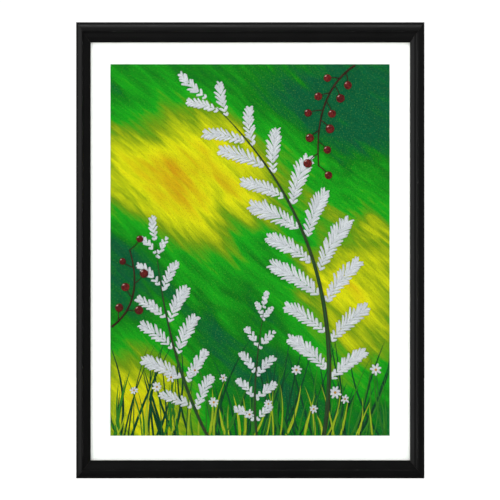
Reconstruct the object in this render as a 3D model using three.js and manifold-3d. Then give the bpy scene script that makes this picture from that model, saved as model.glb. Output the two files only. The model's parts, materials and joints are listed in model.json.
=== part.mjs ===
// A framed picture for a wall: four mitred mouldings, and in their rabbet a clear glazing sheet, a
// window mat, the printed sheet, a filler board and a backing board, held in by turn buttons.
// Millimetres. X runs right, Y runs from the front towards the wall, Z runs up.
import * as THREE from 'three';
import { mergeVertices } from 'three/addons/utils/BufferGeometryUtils.js';
import Module from 'manifold-3d';

const wasm = await Module();
wasm.setup();

// ---- Driving dimensions ----
const FRAME_WIDTH = 497;
const FRAME_HEIGHT = 651;
const FRAME_DEPTH = 22;
const STILE_WIDTH = 20.8;
const TOP_RAIL_WIDTH = 29.1;
const BOTTOM_RAIL_WIDTH = 26;
const MITRE_SETBACK = 0.2; // each member stops this short of the mitre, along its own length

// The moulding's section. Shares are of a member's width, counted from its outer edge.
const CREST_SHARE = 0.46;
const LAND_START_SHARE = 0.62;
const LIP_START_SHARE = 0.72;
const SIDE_HEIGHT_Y = 7.0; // where the rounded shoulder meets the straight outer side
const LAND_START_Y = 2.7;
const LIP_START_Y = 2.8;
const SIGHT_EDGE_Y = 5.6;
const LIP_BACK_Y = 7.6;
const RABBET_LIP = 6; // how far the lip reaches over the sheets
// The pull points of the cove and the lip, as shares of the run and of the depth
const COVE_PULL_RUN = 0.25;
const COVE_PULL_DEPTH = 1;
const LIP_PULL_RUN = 0.75;
const LIP_PULL_DEPTH = 0.8;

// The sheets in the rabbet
const SHEET_CLEARANCE = 1;
const SHEET_GAP = 0.3;
const GLAZING_THICKNESS = 2;
const MAT_THICKNESS = 1.5;
const PRINT_THICKNESS = 0.4;
const FILLER_THICKNESS = 5;
const BACKING_THICKNESS = 3;
const MAT_MARGIN_LEFT = 27.9;
const MAT_MARGIN_RIGHT = 28.6;
const MAT_MARGIN_TOP = 30.6;
const MAT_MARGIN_BOTTOM = 34.6;
const PRINT_TUCK = 8; // of the print, hidden under the mat on each side
const CUT_SPARE = 0.5; // how far a cutter runs past the face it opens

// Turn buttons and their screws
const BUTTON_THICKNESS = 1.2;
const BUTTON_END_RADIUS = 5.5;
const BUTTON_TIP_RADIUS = 4;
const BUTTON_REACH = 17; // from the screw to the centre of the tip
const BUTTON_BORE_RADIUS = 2.1;
const BUTTON_SETBACK = 7; // of the screw, from the rabbet's wall
const BUTTON_GAP = 0.3;
const SIDE_BUTTON_OFFSET = 165; // of a stile's buttons, above and below the middle
const END_BUTTON_OFFSET = 125; // of a rail's buttons, to each side of the middle
const SCREW_HEAD_RADIUS = 3.4;
const SCREW_HEAD_HEIGHT = 1.9;
const SCREW_SHANK_RADIUS = 1.4;
const SCREW_SHANK_LENGTH = 10;
const SCREW_POINT_LENGTH = 2.5;
// The corners of the pan head's outline, as shares of its radius and height
const SCREW_HEAD_OUTLINE = [[1, 0], [1, 0.35], [0.82, 0.8], [0.4, 1], [0, 1]];
const PILOT_CLEARANCE = 0.3;

// The sawtooth hanger on the top rail
const HANGER_LENGTH = 50;
const HANGER_HEIGHT = 10;
const HANGER_THICKNESS = 1;
const HANGER_RISE = 2.8;
const HANGER_FOOT = 7.5; // length of each flat end
const HANGER_RAMP = 4;
const HANGER_DROP = 7; // of its upper edge, below the frame's top
const TOOTH_PITCH = 3;
const TOOTH_DEPTH = 1.8;
const TOOTH_COUNT = 8;
const NAIL_SHANK_RADIUS = 0.8;
const NAIL_HEAD_RADIUS = 1.9;
const NAIL_HEAD_HEIGHT = 0.9;
const NAIL_LENGTH = 12;
const NAIL_BORE_RADIUS = 1.1;
const NAIL_POINT_LENGTH = 1.6;
const NAIL_HEAD_OUTLINE = [[1, 0], [1, 0.4], [0.6, 1], [0, 1]];

// Soft bumpers at the lower corners
const BUMPER_RADIUS = 5;
const BUMPER_PAD_RADIUS = 3.4;
const BUMPER_HEIGHT = 4;
const BUMPER_SIDE_SHARE = 0.45; // of its height, straight up from its foot
const BUMPER_SHOULDER_SHARE = 0.75; // of its height, where the shoulder turns in
const BUMPER_SHOULDER_RADIUS = 4.65;
const BUMPER_INSET = 9; // from the two outer edges, on the narrower member
const BUMPER_RAISE = 34; // above the frame's lower edge

// Vee-shaped nails that join the mitres, driven in flush with the back
const VEE_HALF_SPAN = 4.2;
const VEE_DEPTH = 2.4;
const VEE_THICKNESS = 0.8;
const VEE_LENGTH = 7;
const VEE_PLACE_SHARE = 0.36; // along the mitre, from its outer corner
const VEE_POCKET_MARGIN = 0.25;

// Faces round each kind of curve
const CURVE_STEPS = 8;
const BUTTON_STEPS = 12;
const SCREW_STEPS = 16;
const NAIL_STEPS = 12;
const BUMPER_STEPS = 24;
const WELD_DISTANCE = 1e-4; // corners closer than this are one corner

const HALF_WIDTH = FRAME_WIDTH / 2;
const HALF_HEIGHT = FRAME_HEIGHT / 2;

// ---- Finishes ----
const finish = (color, roughness, metalness) =>
  new THREE.MeshStandardMaterial({ color, roughness, metalness });
const BLACK_WOOD = finish(0x1a1a1a, 0.42, 0);
const CLEAR_SHEET = new THREE.MeshStandardMaterial({
  color: 0xffffff,
  roughness: 0.05,
  metalness: 0,
  transparent: true,
  opacity: 0.15,
});
const WHITE_BOARD = finish(0xfdfdfb, 0.9, 0);
const PRINTED_PAPER = finish(0x4fae2c, 0.7, 0);
const FOAM_BOARD = finish(0xf1f0ea, 0.85, 0);
const HARDBOARD = finish(0x7b5a3a, 0.8, 0);
const ZINC_STEEL = finish(0xb9bcbf, 0.35, 1);
const BRASSED_STEEL = finish(0xb0904a, 0.35, 1);
const SOFT_RUBBER = finish(0x2a2a2a, 0.8, 0);

// ---- Helpers ----
function solidOf(geometry) {
  const bare = geometry.clone();
  bare.deleteAttribute('normal');
  bare.deleteAttribute('uv');
  const merged = mergeVertices(bare, WELD_DISTANCE);
  const mesh = new wasm.Mesh({
    numProp: 3,
    vertProperties: new Float32Array(merged.attributes.position.array),
    triVerts: new Uint32Array(merged.index.array),
  });
  return new wasm.Manifold(mesh);
}

function geometryOf(solid) {
  const mesh = solid.getMesh();
  const geometry = new THREE.BufferGeometry();
  geometry.setAttribute('position', new THREE.BufferAttribute(mesh.vertProperties, 3));
  geometry.setIndex(new THREE.BufferAttribute(mesh.triVerts, 1));
  geometry.computeVertexNormals();
  return geometry;
}

// Cuts shapes that are given in the frame's coordinates out of a mesh that is already placed.
function cutFromMesh(mesh, cutters) {
  mesh.updateMatrix();
  const toLocal = mesh.matrix.clone().invert();
  let solid = solidOf(mesh.geometry);
  for (const cutter of cutters) {
    solid = solid.subtract(solidOf(cutter.clone().applyMatrix4(toLocal)));
  }
  mesh.geometry = geometryOf(solid);
}

function extrude(shape, depth, curveSegments = CURVE_STEPS) {
  return new THREE.ExtrudeGeometry(shape, { depth, bevelEnabled: false, curveSegments });
}

// Turns a flat outline drawn in X and Z (as x, y) into a plate between two depths.
function plate(shape, frontY, backY, curveSegments = CURVE_STEPS) {
  const geometry = extrude(shape, backY - frontY, curveSegments);
  geometry.rotateX(Math.PI / 2);
  geometry.translate(0, backY, 0);
  return geometry;
}

function namedMesh(name, geometry, material) {
  const mesh = new THREE.Mesh(geometry, material);
  mesh.name = name;
  return mesh;
}

function sheetBox(width, height, frontY, thickness) {
  const geometry = new THREE.BoxGeometry(width, thickness, height);
  geometry.translate(0, frontY + thickness / 2, 0);
  return geometry;
}

// ---- The moulding ----
// x is the distance from the outer edge and y the depth behind the frame's front.
function mouldingSection(width) {
  const section = new THREE.Shape();
  const crest = width * CREST_SHARE;
  const landStart = width * LAND_START_SHARE;
  const lipStart = width * LIP_START_SHARE;
  section.moveTo(0, FRAME_DEPTH);
  section.lineTo(0, SIDE_HEIGHT_Y);
  section.absellipse(crest, SIDE_HEIGHT_Y, crest, SIDE_HEIGHT_Y, Math.PI, 1.5 * Math.PI, false, 0);
  section.quadraticCurveTo(
    crest + (landStart - crest) * COVE_PULL_RUN,
    LAND_START_Y * COVE_PULL_DEPTH,
    landStart,
    LAND_START_Y,
  );
  section.lineTo(lipStart, LIP_START_Y);
  section.quadraticCurveTo(
    lipStart + (width - lipStart) * LIP_PULL_RUN,
    SIGHT_EDGE_Y * LIP_PULL_DEPTH,
    width,
    SIGHT_EDGE_Y,
  );
  section.lineTo(width, LIP_BACK_Y);
  section.lineTo(width - RABBET_LIP, LIP_BACK_Y);
  section.lineTo(width - RABBET_LIP, FRAME_DEPTH);
  section.closePath();
  return section;
}

// One member along local Z. Its ends follow the mitres with the two members that it meets.
function mouldingMember({ name, width, length, nextAtPlus, nextAtMinus, turn, place }) {
  const geometry = extrude(mouldingSection(width), length);
  geometry.translate(0, 0, -length / 2);
  const position = geometry.attributes.position;
  for (let i = 0; i < position.count; i += 1) {
    const across = position.getX(i) / width;
    const next = position.getZ(i) > 0 ? nextAtPlus : nextAtMinus;
    const end = length / 2 - across * next - MITRE_SETBACK;
    position.setZ(i, Math.sign(position.getZ(i)) * end);
  }
  const mesh = namedMesh(name, geometry, BLACK_WOOD);
  mesh.rotation.y = turn;
  mesh.position.copy(place);
  return mesh;
}

const members = {
  stile_left: mouldingMember({
    name: 'stile_left',
    width: STILE_WIDTH,
    length: FRAME_HEIGHT,
    nextAtPlus: TOP_RAIL_WIDTH,
    nextAtMinus: BOTTOM_RAIL_WIDTH,
    turn: 0,
    place: new THREE.Vector3(-HALF_WIDTH, 0, 0),
  }),
  rail_top: mouldingMember({
    name: 'rail_top',
    width: TOP_RAIL_WIDTH,
    length: FRAME_WIDTH,
    nextAtPlus: STILE_WIDTH,
    nextAtMinus: STILE_WIDTH,
    turn: Math.PI / 2,
    place: new THREE.Vector3(0, 0, HALF_HEIGHT),
  }),
  stile_right: mouldingMember({
    name: 'stile_right',
    width: STILE_WIDTH,
    length: FRAME_HEIGHT,
    nextAtPlus: BOTTOM_RAIL_WIDTH,
    nextAtMinus: TOP_RAIL_WIDTH,
    turn: Math.PI,
    place: new THREE.Vector3(HALF_WIDTH, 0, 0),
  }),
  rail_bottom: mouldingMember({
    name: 'rail_bottom',
    width: BOTTOM_RAIL_WIDTH,
    length: FRAME_WIDTH,
    nextAtPlus: STILE_WIDTH,
    nextAtMinus: STILE_WIDTH,
    turn: -Math.PI / 2,
    place: new THREE.Vector3(0, 0, -HALF_HEIGHT),
  }),
};
const pockets = { stile_left: [], stile_right: [], rail_top: [], rail_bottom: [] };

// ---- The sheets ----
const rabbetWidth = FRAME_WIDTH - 2 * (STILE_WIDTH - RABBET_LIP);
const rabbetTop = HALF_HEIGHT - (TOP_RAIL_WIDTH - RABBET_LIP);
const rabbetBottom = -HALF_HEIGHT + (BOTTOM_RAIL_WIDTH - RABBET_LIP);
const sheetWidth = rabbetWidth - 2 * SHEET_CLEARANCE;
const sheetHeight = rabbetTop - rabbetBottom - 2 * SHEET_CLEARANCE;
const sheetMiddleZ = (rabbetTop + rabbetBottom) / 2;

const glazingFront = LIP_BACK_Y + SHEET_GAP;
const matFront = glazingFront + GLAZING_THICKNESS + SHEET_GAP;
const printFront = matFront + MAT_THICKNESS + SHEET_GAP;
const fillerFront = printFront + PRINT_THICKNESS + SHEET_GAP;
const backingFront = fillerFront + FILLER_THICKNESS + SHEET_GAP;

const windowLeft = -HALF_WIDTH + STILE_WIDTH + MAT_MARGIN_LEFT;
const windowRight = HALF_WIDTH - STILE_WIDTH - MAT_MARGIN_RIGHT;
const windowTop = HALF_HEIGHT - TOP_RAIL_WIDTH - MAT_MARGIN_TOP;
const windowBottom = -HALF_HEIGHT + BOTTOM_RAIL_WIDTH + MAT_MARGIN_BOTTOM;
const windowMiddleX = (windowLeft + windowRight) / 2;
const windowMiddleZ = (windowTop + windowBottom) / 2;

function fullSheet(name, frontY, thickness, material) {
  const mesh = namedMesh(name, sheetBox(sheetWidth, sheetHeight, frontY, thickness), material);
  mesh.position.z = sheetMiddleZ;
  return mesh;
}

// The window's edge is cut at 45 degrees, so the opening is wider at the front than at the back.
function windowCutter() {
  const halfWidth = (windowRight - windowLeft) / 2 - CUT_SPARE;
  const halfHeight = (windowTop - windowBottom) / 2 - CUT_SPARE;
  const outline = new THREE.Shape();
  outline.moveTo(-halfWidth, -halfHeight);
  outline.lineTo(halfWidth, -halfHeight);
  outline.lineTo(halfWidth, halfHeight);
  outline.lineTo(-halfWidth, halfHeight);
  outline.closePath();
  const taper = MAT_THICKNESS + 2 * CUT_SPARE;
  const geometry = new THREE.ExtrudeGeometry(outline, {
    depth: taper,
    bevelEnabled: true,
    bevelThickness: taper,
    bevelSize: taper,
    bevelSegments: 1,
  });
  geometry.rotateX(Math.PI / 2);
  geometry.translate(windowMiddleX, matFront - CUT_SPARE, windowMiddleZ);
  return geometry;
}

function windowMat() {
  const mesh = fullSheet('window_mat', matFront, MAT_THICKNESS, WHITE_BOARD);
  cutFromMesh(mesh, [windowCutter()]);
  return mesh;
}

function printSheet() {
  const width = windowRight - windowLeft + 2 * PRINT_TUCK;
  const height = windowTop - windowBottom + 2 * PRINT_TUCK;
  const geometry = sheetBox(width, height, printFront, PRINT_THICKNESS);
  const mesh = namedMesh('print_sheet', geometry, PRINTED_PAPER);
  mesh.position.set(windowMiddleX, 0, windowMiddleZ);
  return mesh;
}

// ---- Turn buttons ----
// The outline runs from the screw, at the origin, along +X to the tip.
function buttonOutline() {
  const lean = Math.acos((BUTTON_END_RADIUS - BUTTON_TIP_RADIUS) / BUTTON_REACH);
  const outline = new THREE.Shape();
  outline.absarc(0, 0, BUTTON_END_RADIUS, lean, -lean, false);
  outline.absarc(BUTTON_REACH, 0, BUTTON_TIP_RADIUS, -lean, lean, false);
  outline.closePath();
  const bore = new THREE.Path();
  bore.absarc(0, 0, BUTTON_BORE_RADIUS, 0, 2 * Math.PI, true);
  outline.holes.push(bore);
  return outline;
}

// A pointed shank under a head, spun round Y. The head's outline is in shares of its size.
function fastener(shankRadius, shankLength, pointLength, headRadius, headHeight, headOutline, steps) {
  const points = [
    new THREE.Vector2(0, -shankLength),
    new THREE.Vector2(shankRadius, pointLength - shankLength),
    new THREE.Vector2(shankRadius, 0),
  ];
  for (const [across, up] of headOutline) {
    points.push(new THREE.Vector2(headRadius * across, headHeight * up));
  }
  return new THREE.LatheGeometry(points, steps);
}

function screwGeometry() {
  return fastener(
    SCREW_SHANK_RADIUS,
    SCREW_SHANK_LENGTH,
    SCREW_POINT_LENGTH,
    SCREW_HEAD_RADIUS,
    SCREW_HEAD_HEIGHT,
    SCREW_HEAD_OUTLINE,
    SCREW_STEPS,
  );
}

const buttonFront = FRAME_DEPTH + BUTTON_GAP;
const screwSeat = buttonFront + BUTTON_THICKNESS + BUTTON_GAP;
const stileScrewX = HALF_WIDTH - STILE_WIDTH + RABBET_LIP + BUTTON_SETBACK;
const buttonPlaces = [
  { member: 'stile_left', x: -stileScrewX, z: SIDE_BUTTON_OFFSET, angle: 0 },
  { member: 'stile_left', x: -stileScrewX, z: -SIDE_BUTTON_OFFSET, angle: 0 },
  { member: 'stile_right', x: stileScrewX, z: SIDE_BUTTON_OFFSET, angle: Math.PI },
  { member: 'stile_right', x: stileScrewX, z: -SIDE_BUTTON_OFFSET, angle: Math.PI },
  { member: 'rail_top', x: -END_BUTTON_OFFSET, z: rabbetTop + BUTTON_SETBACK, angle: Math.PI / 2 },
  { member: 'rail_top', x: END_BUTTON_OFFSET, z: rabbetTop + BUTTON_SETBACK, angle: Math.PI / 2 },
  {
    member: 'rail_bottom',
    x: -END_BUTTON_OFFSET,
    z: rabbetBottom - BUTTON_SETBACK,
    angle: -Math.PI / 2,
  },
  {
    member: 'rail_bottom',
    x: END_BUTTON_OFFSET,
    z: rabbetBottom - BUTTON_SETBACK,
    angle: -Math.PI / 2,
  },
];

// angle turns the button about Y, so that its tip points over the backing board.
function addTurnButton(group, place, number) {
  const shape = plate(buttonOutline(), 0, BUTTON_THICKNESS, BUTTON_STEPS);
  const button = namedMesh(`turn_button_${number}`, shape, ZINC_STEEL);
  button.rotation.y = place.angle;
  button.position.set(place.x, buttonFront, place.z);
  const screw = namedMesh(`turn_screw_${number}`, screwGeometry(), ZINC_STEEL);
  screw.position.set(place.x, screwSeat, place.z);
  const holeLength = SCREW_SHANK_LENGTH + PILOT_CLEARANCE + CUT_SPARE;
  const radius = SCREW_SHANK_RADIUS + PILOT_CLEARANCE;
  const hole = new THREE.CylinderGeometry(radius, radius, holeLength, SCREW_STEPS);
  hole.translate(place.x, screwSeat - SCREW_SHANK_LENGTH - PILOT_CLEARANCE + holeLength / 2, place.z);
  pockets[place.member].push(hole);
  group.add(button, screw);
}

// ---- The sawtooth hanger ----
const hangerTop = HALF_HEIGHT - HANGER_DROP;
const hangerBottom = hangerTop - HANGER_HEIGHT;
const hangerFootY = FRAME_DEPTH + BUTTON_GAP;
const hangerBridgeY = hangerFootY + HANGER_RISE;

// The strip seen from below: two flat feet and a raised bridge, in x and depth.
function hangerStrip() {
  const half = HANGER_LENGTH / 2;
  const footEnd = half - HANGER_FOOT;
  const bridgeEnd = footEnd - HANGER_RAMP;
  const strip = new THREE.Shape();
  strip.moveTo(-half, hangerFootY);
  strip.lineTo(-footEnd, hangerFootY);
  strip.lineTo(-bridgeEnd, hangerBridgeY);
  strip.lineTo(bridgeEnd, hangerBridgeY);
  strip.lineTo(footEnd, hangerFootY);
  strip.lineTo(half, hangerFootY);
  strip.lineTo(half, hangerFootY + HANGER_THICKNESS);
  strip.lineTo(footEnd, hangerFootY + HANGER_THICKNESS);
  strip.lineTo(bridgeEnd, hangerBridgeY + HANGER_THICKNESS);
  strip.lineTo(-bridgeEnd, hangerBridgeY + HANGER_THICKNESS);
  strip.lineTo(-footEnd, hangerFootY + HANGER_THICKNESS);
  strip.lineTo(-half, hangerFootY + HANGER_THICKNESS);
  strip.closePath();
  return strip;
}

// One vee notch that opens downwards; a wall nail sits in its top.
function toothNotch(x) {
  const notch = new THREE.Shape();
  notch.moveTo(x - TOOTH_PITCH / 2, hangerBottom - CUT_SPARE);
  notch.lineTo(x + TOOTH_PITCH / 2, hangerBottom - CUT_SPARE);
  notch.lineTo(x, hangerBottom + TOOTH_DEPTH);
  notch.closePath();
  return plate(notch, hangerBridgeY - CUT_SPARE, hangerBridgeY + HANGER_THICKNESS + CUT_SPARE);
}

function sawtoothHanger() {
  const geometry = extrude(hangerStrip(), HANGER_HEIGHT);
  geometry.translate(0, 0, hangerBottom);
  const mesh = namedMesh('sawtooth_hanger', geometry, BRASSED_STEEL);
  const cutters = [];
  for (let i = 0; i <= TOOTH_COUNT; i += 1) {
    cutters.push(toothNotch((i - TOOTH_COUNT / 2) * TOOTH_PITCH));
  }
  for (const x of hangerNailX) {
    const length = HANGER_THICKNESS + 2 * CUT_SPARE;
    const bore = new THREE.CylinderGeometry(NAIL_BORE_RADIUS, NAIL_BORE_RADIUS, length, SCREW_STEPS);
    bore.translate(x, hangerFootY + HANGER_THICKNESS / 2, hangerNailZ);
    cutters.push(bore);
  }
  cutFromMesh(mesh, cutters);
  return mesh;
}

const hangerNailX = [-1, 1].map((side) => side * (HANGER_LENGTH - HANGER_FOOT) / 2);
const hangerNailZ = (hangerTop + hangerBottom) / 2;

function addHangerNail(group, x, name) {
  const seat = hangerFootY + HANGER_THICKNESS + BUTTON_GAP;
  const geometry = fastener(
    NAIL_SHANK_RADIUS,
    NAIL_LENGTH,
    NAIL_POINT_LENGTH,
    NAIL_HEAD_RADIUS,
    NAIL_HEAD_HEIGHT,
    NAIL_HEAD_OUTLINE,
    NAIL_STEPS,
  );
  const nail = namedMesh(name, geometry, BRASSED_STEEL);
  nail.position.set(x, seat, hangerNailZ);
  const radius = NAIL_SHANK_RADIUS + PILOT_CLEARANCE;
  const hole = new THREE.CylinderGeometry(radius, radius, NAIL_LENGTH + CUT_SPARE, NAIL_STEPS);
  hole.translate(x, seat - PILOT_CLEARANCE - (NAIL_LENGTH - CUT_SPARE) / 2, hangerNailZ);
  pockets.rail_top.push(hole);
  group.add(nail);
}

// ---- Bumpers ----
function bumper(name, side) {
  const points = [
    new THREE.Vector2(0, 0),
    new THREE.Vector2(BUMPER_RADIUS, 0),
    new THREE.Vector2(BUMPER_RADIUS, BUMPER_HEIGHT * BUMPER_SIDE_SHARE),
    new THREE.Vector2(BUMPER_SHOULDER_RADIUS, BUMPER_HEIGHT * BUMPER_SHOULDER_SHARE),
    new THREE.Vector2(BUMPER_PAD_RADIUS, BUMPER_HEIGHT),
    new THREE.Vector2(0, BUMPER_HEIGHT),
  ];
  const mesh = namedMesh(name, new THREE.LatheGeometry(points, BUMPER_STEPS), SOFT_RUBBER);
  mesh.position.set(
    side * (HALF_WIDTH - BUMPER_INSET), FRAME_DEPTH + BUTTON_GAP, -HALF_HEIGHT + BUMPER_RAISE);
  return mesh;
}

// ---- Vee nails ----
// A vee across the mitre, drawn with the mitre along its own y axis.
function veeOutline(margin) {
  const reach = VEE_HALF_SPAN + margin;
  const rise = VEE_THICKNESS / 2 + margin;
  const outline = new THREE.Shape();
  outline.moveTo(-reach, VEE_DEPTH - rise);
  outline.lineTo(0, -rise);
  outline.lineTo(reach, VEE_DEPTH - rise);
  outline.lineTo(reach, VEE_DEPTH + rise);
  outline.lineTo(0, rise);
  outline.lineTo(-reach, VEE_DEPTH + rise);
  outline.closePath();
  return outline;
}

function addVeeNail(group, { name, sideX, sideZ, railWidth, rail, stile }) {
  const mitre = Math.atan2(sideX * STILE_WIDTH, sideZ * railWidth);
  const place = new THREE.Vector3(
    sideX * (HALF_WIDTH - STILE_WIDTH * VEE_PLACE_SHARE),
    0,
    sideZ * (HALF_HEIGHT - railWidth * VEE_PLACE_SHARE),
  );
  const nail = plate(veeOutline(0), FRAME_DEPTH - VEE_LENGTH, FRAME_DEPTH);
  const pocket = plate(
    veeOutline(VEE_POCKET_MARGIN),
    FRAME_DEPTH - VEE_LENGTH - VEE_POCKET_MARGIN,
    FRAME_DEPTH + CUT_SPARE,
  );
  for (const geometry of [nail, pocket]) {
    geometry.rotateY(mitre);
    geometry.translate(place.x, place.y, place.z);
  }
  pockets[rail].push(pocket);
  pockets[stile].push(pocket);
  group.add(namedMesh(name, nail, ZINC_STEEL));
}

// ---- Assembly ----
const picture = new THREE.Group();
buttonPlaces.forEach((place, index) => addTurnButton(picture, place, index + 1));
addHangerNail(picture, hangerNailX[0], 'hanger_nail_left');
addHangerNail(picture, hangerNailX[1], 'hanger_nail_right');
for (const [endName, sideZ, railWidth] of [
  ['top', 1, TOP_RAIL_WIDTH],
  ['bottom', -1, BOTTOM_RAIL_WIDTH],
]) {
  for (const [sideName, sideX] of [['left', -1], ['right', 1]]) {
    addVeeNail(picture, {
      name: `vee_nail_${endName}_${sideName}`,
      sideX,
      sideZ,
      railWidth,
      rail: `rail_${endName}`,
      stile: `stile_${sideName}`,
    });
  }
}
for (const [name, member] of Object.entries(members)) {
  cutFromMesh(member, pockets[name]);
  picture.add(member);
}
picture.add(
  fullSheet('glazing', glazingFront, GLAZING_THICKNESS, CLEAR_SHEET),
  windowMat(),
  printSheet(),
  fullSheet('filler_board', fillerFront, FILLER_THICKNESS, FOAM_BOARD),
  fullSheet('backing_board', backingFront, BACKING_THICKNESS, HARDBOARD),
  sawtoothHanger(),
  bumper('bumper_left', -1),
  bumper('bumper_right', 1),
);

// The origin is the top of the hanger's middle notch, where a nail in the wall carries the picture.
const hangPoint = new THREE.Vector3(
  0, hangerBridgeY + HANGER_THICKNESS / 2, hangerBottom + TOOTH_DEPTH);
picture.position.copy(hangPoint).negate();

const part = new THREE.Group();
part.add(picture);
export default part;
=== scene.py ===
"""A framed picture for a wall: the finish of every piece, and the studio it is seen in.

Everything is in metres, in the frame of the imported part: X runs right, Y from the front towards the
wall, and Z up. The origin is the notch of the hanger that carries the picture.
"""

import json
import logging
import math
import random
from dataclasses import dataclass, field
from enum import Enum
from typing import Any, Sequence

import bmesh
import bpy
from mathutils import Matrix, Vector


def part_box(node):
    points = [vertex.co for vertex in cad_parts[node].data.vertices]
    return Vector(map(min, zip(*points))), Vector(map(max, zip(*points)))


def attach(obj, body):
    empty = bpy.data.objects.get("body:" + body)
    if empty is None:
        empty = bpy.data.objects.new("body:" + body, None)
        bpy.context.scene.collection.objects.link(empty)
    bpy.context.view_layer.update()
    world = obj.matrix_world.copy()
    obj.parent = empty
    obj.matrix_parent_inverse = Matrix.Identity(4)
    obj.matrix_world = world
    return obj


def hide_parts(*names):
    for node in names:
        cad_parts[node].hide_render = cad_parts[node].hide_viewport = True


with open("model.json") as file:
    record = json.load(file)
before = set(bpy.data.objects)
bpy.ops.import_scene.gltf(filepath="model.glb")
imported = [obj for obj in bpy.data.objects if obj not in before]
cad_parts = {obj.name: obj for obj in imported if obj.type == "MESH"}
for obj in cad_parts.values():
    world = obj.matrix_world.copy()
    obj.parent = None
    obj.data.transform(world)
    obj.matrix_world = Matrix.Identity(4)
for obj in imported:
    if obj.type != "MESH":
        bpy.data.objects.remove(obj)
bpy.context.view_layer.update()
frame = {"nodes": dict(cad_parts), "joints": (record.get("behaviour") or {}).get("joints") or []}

log = logging.getLogger("framed_picture")

BMesh = bmesh.types.BMesh
Object = bpy.types.Object
RGB = tuple[float, float, float]
Pair = tuple[float, float]
Socket = bpy.types.NodeSocket
MM = 0.001
TOUCHING = 1e-6
FRAME_BODY = "frame"
SHARP_ANGLE = math.radians(30)
STEEP_ANGLE = math.radians(50)


# Node trees


class Graph:
    """A node tree with short calls that add nodes and join them."""

    def __init__(self, tree: bpy.types.NodeTree) -> None:
        """Takes the tree of a material, a world or a group."""
        self.tree = tree

    def node(self, kind: str, inputs: dict[Any, Any] | None = None, **settings: Any) -> bpy.types.Node:
        """Adds a node.

        Args:
            kind: the node's class name, without "ShaderNode" where it starts so.
            inputs: values or sockets by input name or number.
            **settings: the node's own properties.

        Returns:
            The new node.
        """
        made = self.tree.nodes.new(kind if kind.startswith("NodeGroup") else "ShaderNode" + kind)
        for name, value in settings.items():
            setattr(made, name, value)
        for key, value in (inputs or {}).items():
            self.feed(made.inputs[key], value)
        return made

    def feed(self, socket: Socket, value: Any) -> None:
        """Links a socket into an input, or sets the input's own value.

        Args:
            socket: the input.
            value: an output socket, a number, a vector or a colour.
        """
        if isinstance(value, bpy.types.NodeSocket):
            self.tree.links.new(value, socket)
        elif isinstance(value, tuple) and socket.type == "RGBA":
            socket.default_value = (*value, 1.0)
        else:
            socket.default_value = value

    def on_part(self) -> Socket:
        """Returns the place on the part, in metres."""
        return self.node("TexCoord").outputs["Object"]

    def along_map(self, name: str) -> Socket:
        """Returns the place on one of the piece's own maps."""
        return self.node("UVMap", uv_map=name).outputs[0]

    def math(self, operation: str, first: Any, second: Any = 0.0) -> Socket:
        """Returns the result of a Math node on two numbers or sockets."""
        return self.node("Math", {0: first, 1: second}, operation=operation).outputs[0]

    def times(self, first: Any, second: Any) -> Socket:
        """Returns the product of two numbers or sockets."""
        return self.math("MULTIPLY", first, second)

    def add(self, first: Any, *others: Any) -> Socket:
        """Adds up numbers or sockets.

        Args:
            first: one of them.
            *others: the rest.

        Returns:
            The sum.
        """
        for other in others:
            first = self.math("ADD", first, other)
        return first

    def blend(self, *parts: tuple[Any, float]) -> Socket:
        """Returns the sum of sockets that are each given with their share."""
        return self.add(*[self.times(value, share) for value, share in parts])

    def vector(self, operation: str, first: Any, second: Any) -> Socket:
        """Returns the result of a Vector Math node on two vectors."""
        return self.node("VectorMath", {0: first, 1: second}, operation=operation).outputs[0]

    def mix(self, factor: Any, first: Any, second: Any, blend: str = "MIX") -> Socket:
        """Returns a colour between two colours."""
        inputs = {0: factor, 6: first, 7: second}
        return self.node("Mix", inputs, data_type="RGBA", blend_type=blend).outputs[2]

    def remap(self, value: Any, low: float, high: float, to_low: float = 0.0, to_high: float = 1.0) -> Socket:
        """Returns value with the range low to high moved smoothly to another range."""
        inputs = {0: value, 1: low, 2: high, 3: to_low, 4: to_high}
        return self.node("MapRange", inputs, interpolation_type="SMOOTHSTEP").outputs[0]

    def ramp(self, factor: Any, *stops: tuple[float, RGB]) -> Socket:
        """Returns a colour from a ramp.

        Args:
            factor: the place on the ramp.
            *stops: places and colours, in rising order.

        Returns:
            The colour socket.
        """
        made = self.node("ValToRGB", {0: factor})
        elements = made.color_ramp.elements
        while len(elements) < len(stops):
            elements.new(1.0)
        for element, (place, colour) in zip(elements, stops):
            element.position = place
            element.color = (*colour, 1.0)
        return made.outputs[0]

    def noise(
        self, vector: Any, scale: Any, detail: float = 3.0, roughness: float = 0.5, distortion: float = 0.0
    ) -> Socket:
        """Returns a noise value from 0 to 1, mostly near 0.5."""
        values = {"Scale": scale, "Detail": detail, "Roughness": roughness, "Distortion": distortion}
        return self.node("TexNoise", {"Vector": vector, **values}).outputs[0]

    def place(
        self, vector: Any, scale: RGB = (1, 1, 1), turn: RGB = (0, 0, 0), shift: RGB = (0, 0, 0)
    ) -> Socket:
        """Returns a vector that is scaled, turned and then shifted."""
        inputs = {"Vector": vector, "Scale": scale, "Rotation": turn, "Location": shift}
        return self.node("Mapping", inputs).outputs[0]

    def bump(self, height: Any, distance: float, strength: float = 0.5) -> Socket:
        """Returns a normal bent by a height."""
        return self.node("Bump", {"Height": height, "Distance": distance, "Strength": strength}).outputs[0]

    def principled(
        self, colour: Any, rough: Any, normal: Any, specular: float = 0.5, metallic: float = 0.0
    ) -> Socket:
        """Returns a Principled shader.

        Args:
            colour: its base colour.
            rough: its roughness.
            normal: its bent normal.
            specular: the level of its reflection, 0.5 for common dielectrics.
            metallic: 1 for bare metal.

        Returns:
            The shader socket.
        """
        inputs = {"Base Color": colour, "Roughness": rough, "Normal": normal}
        levels = {"Specular IOR Level": specular, "Metallic": metallic}
        return self.node("BsdfPrincipled", {**inputs, **levels}).outputs[0]


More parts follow.
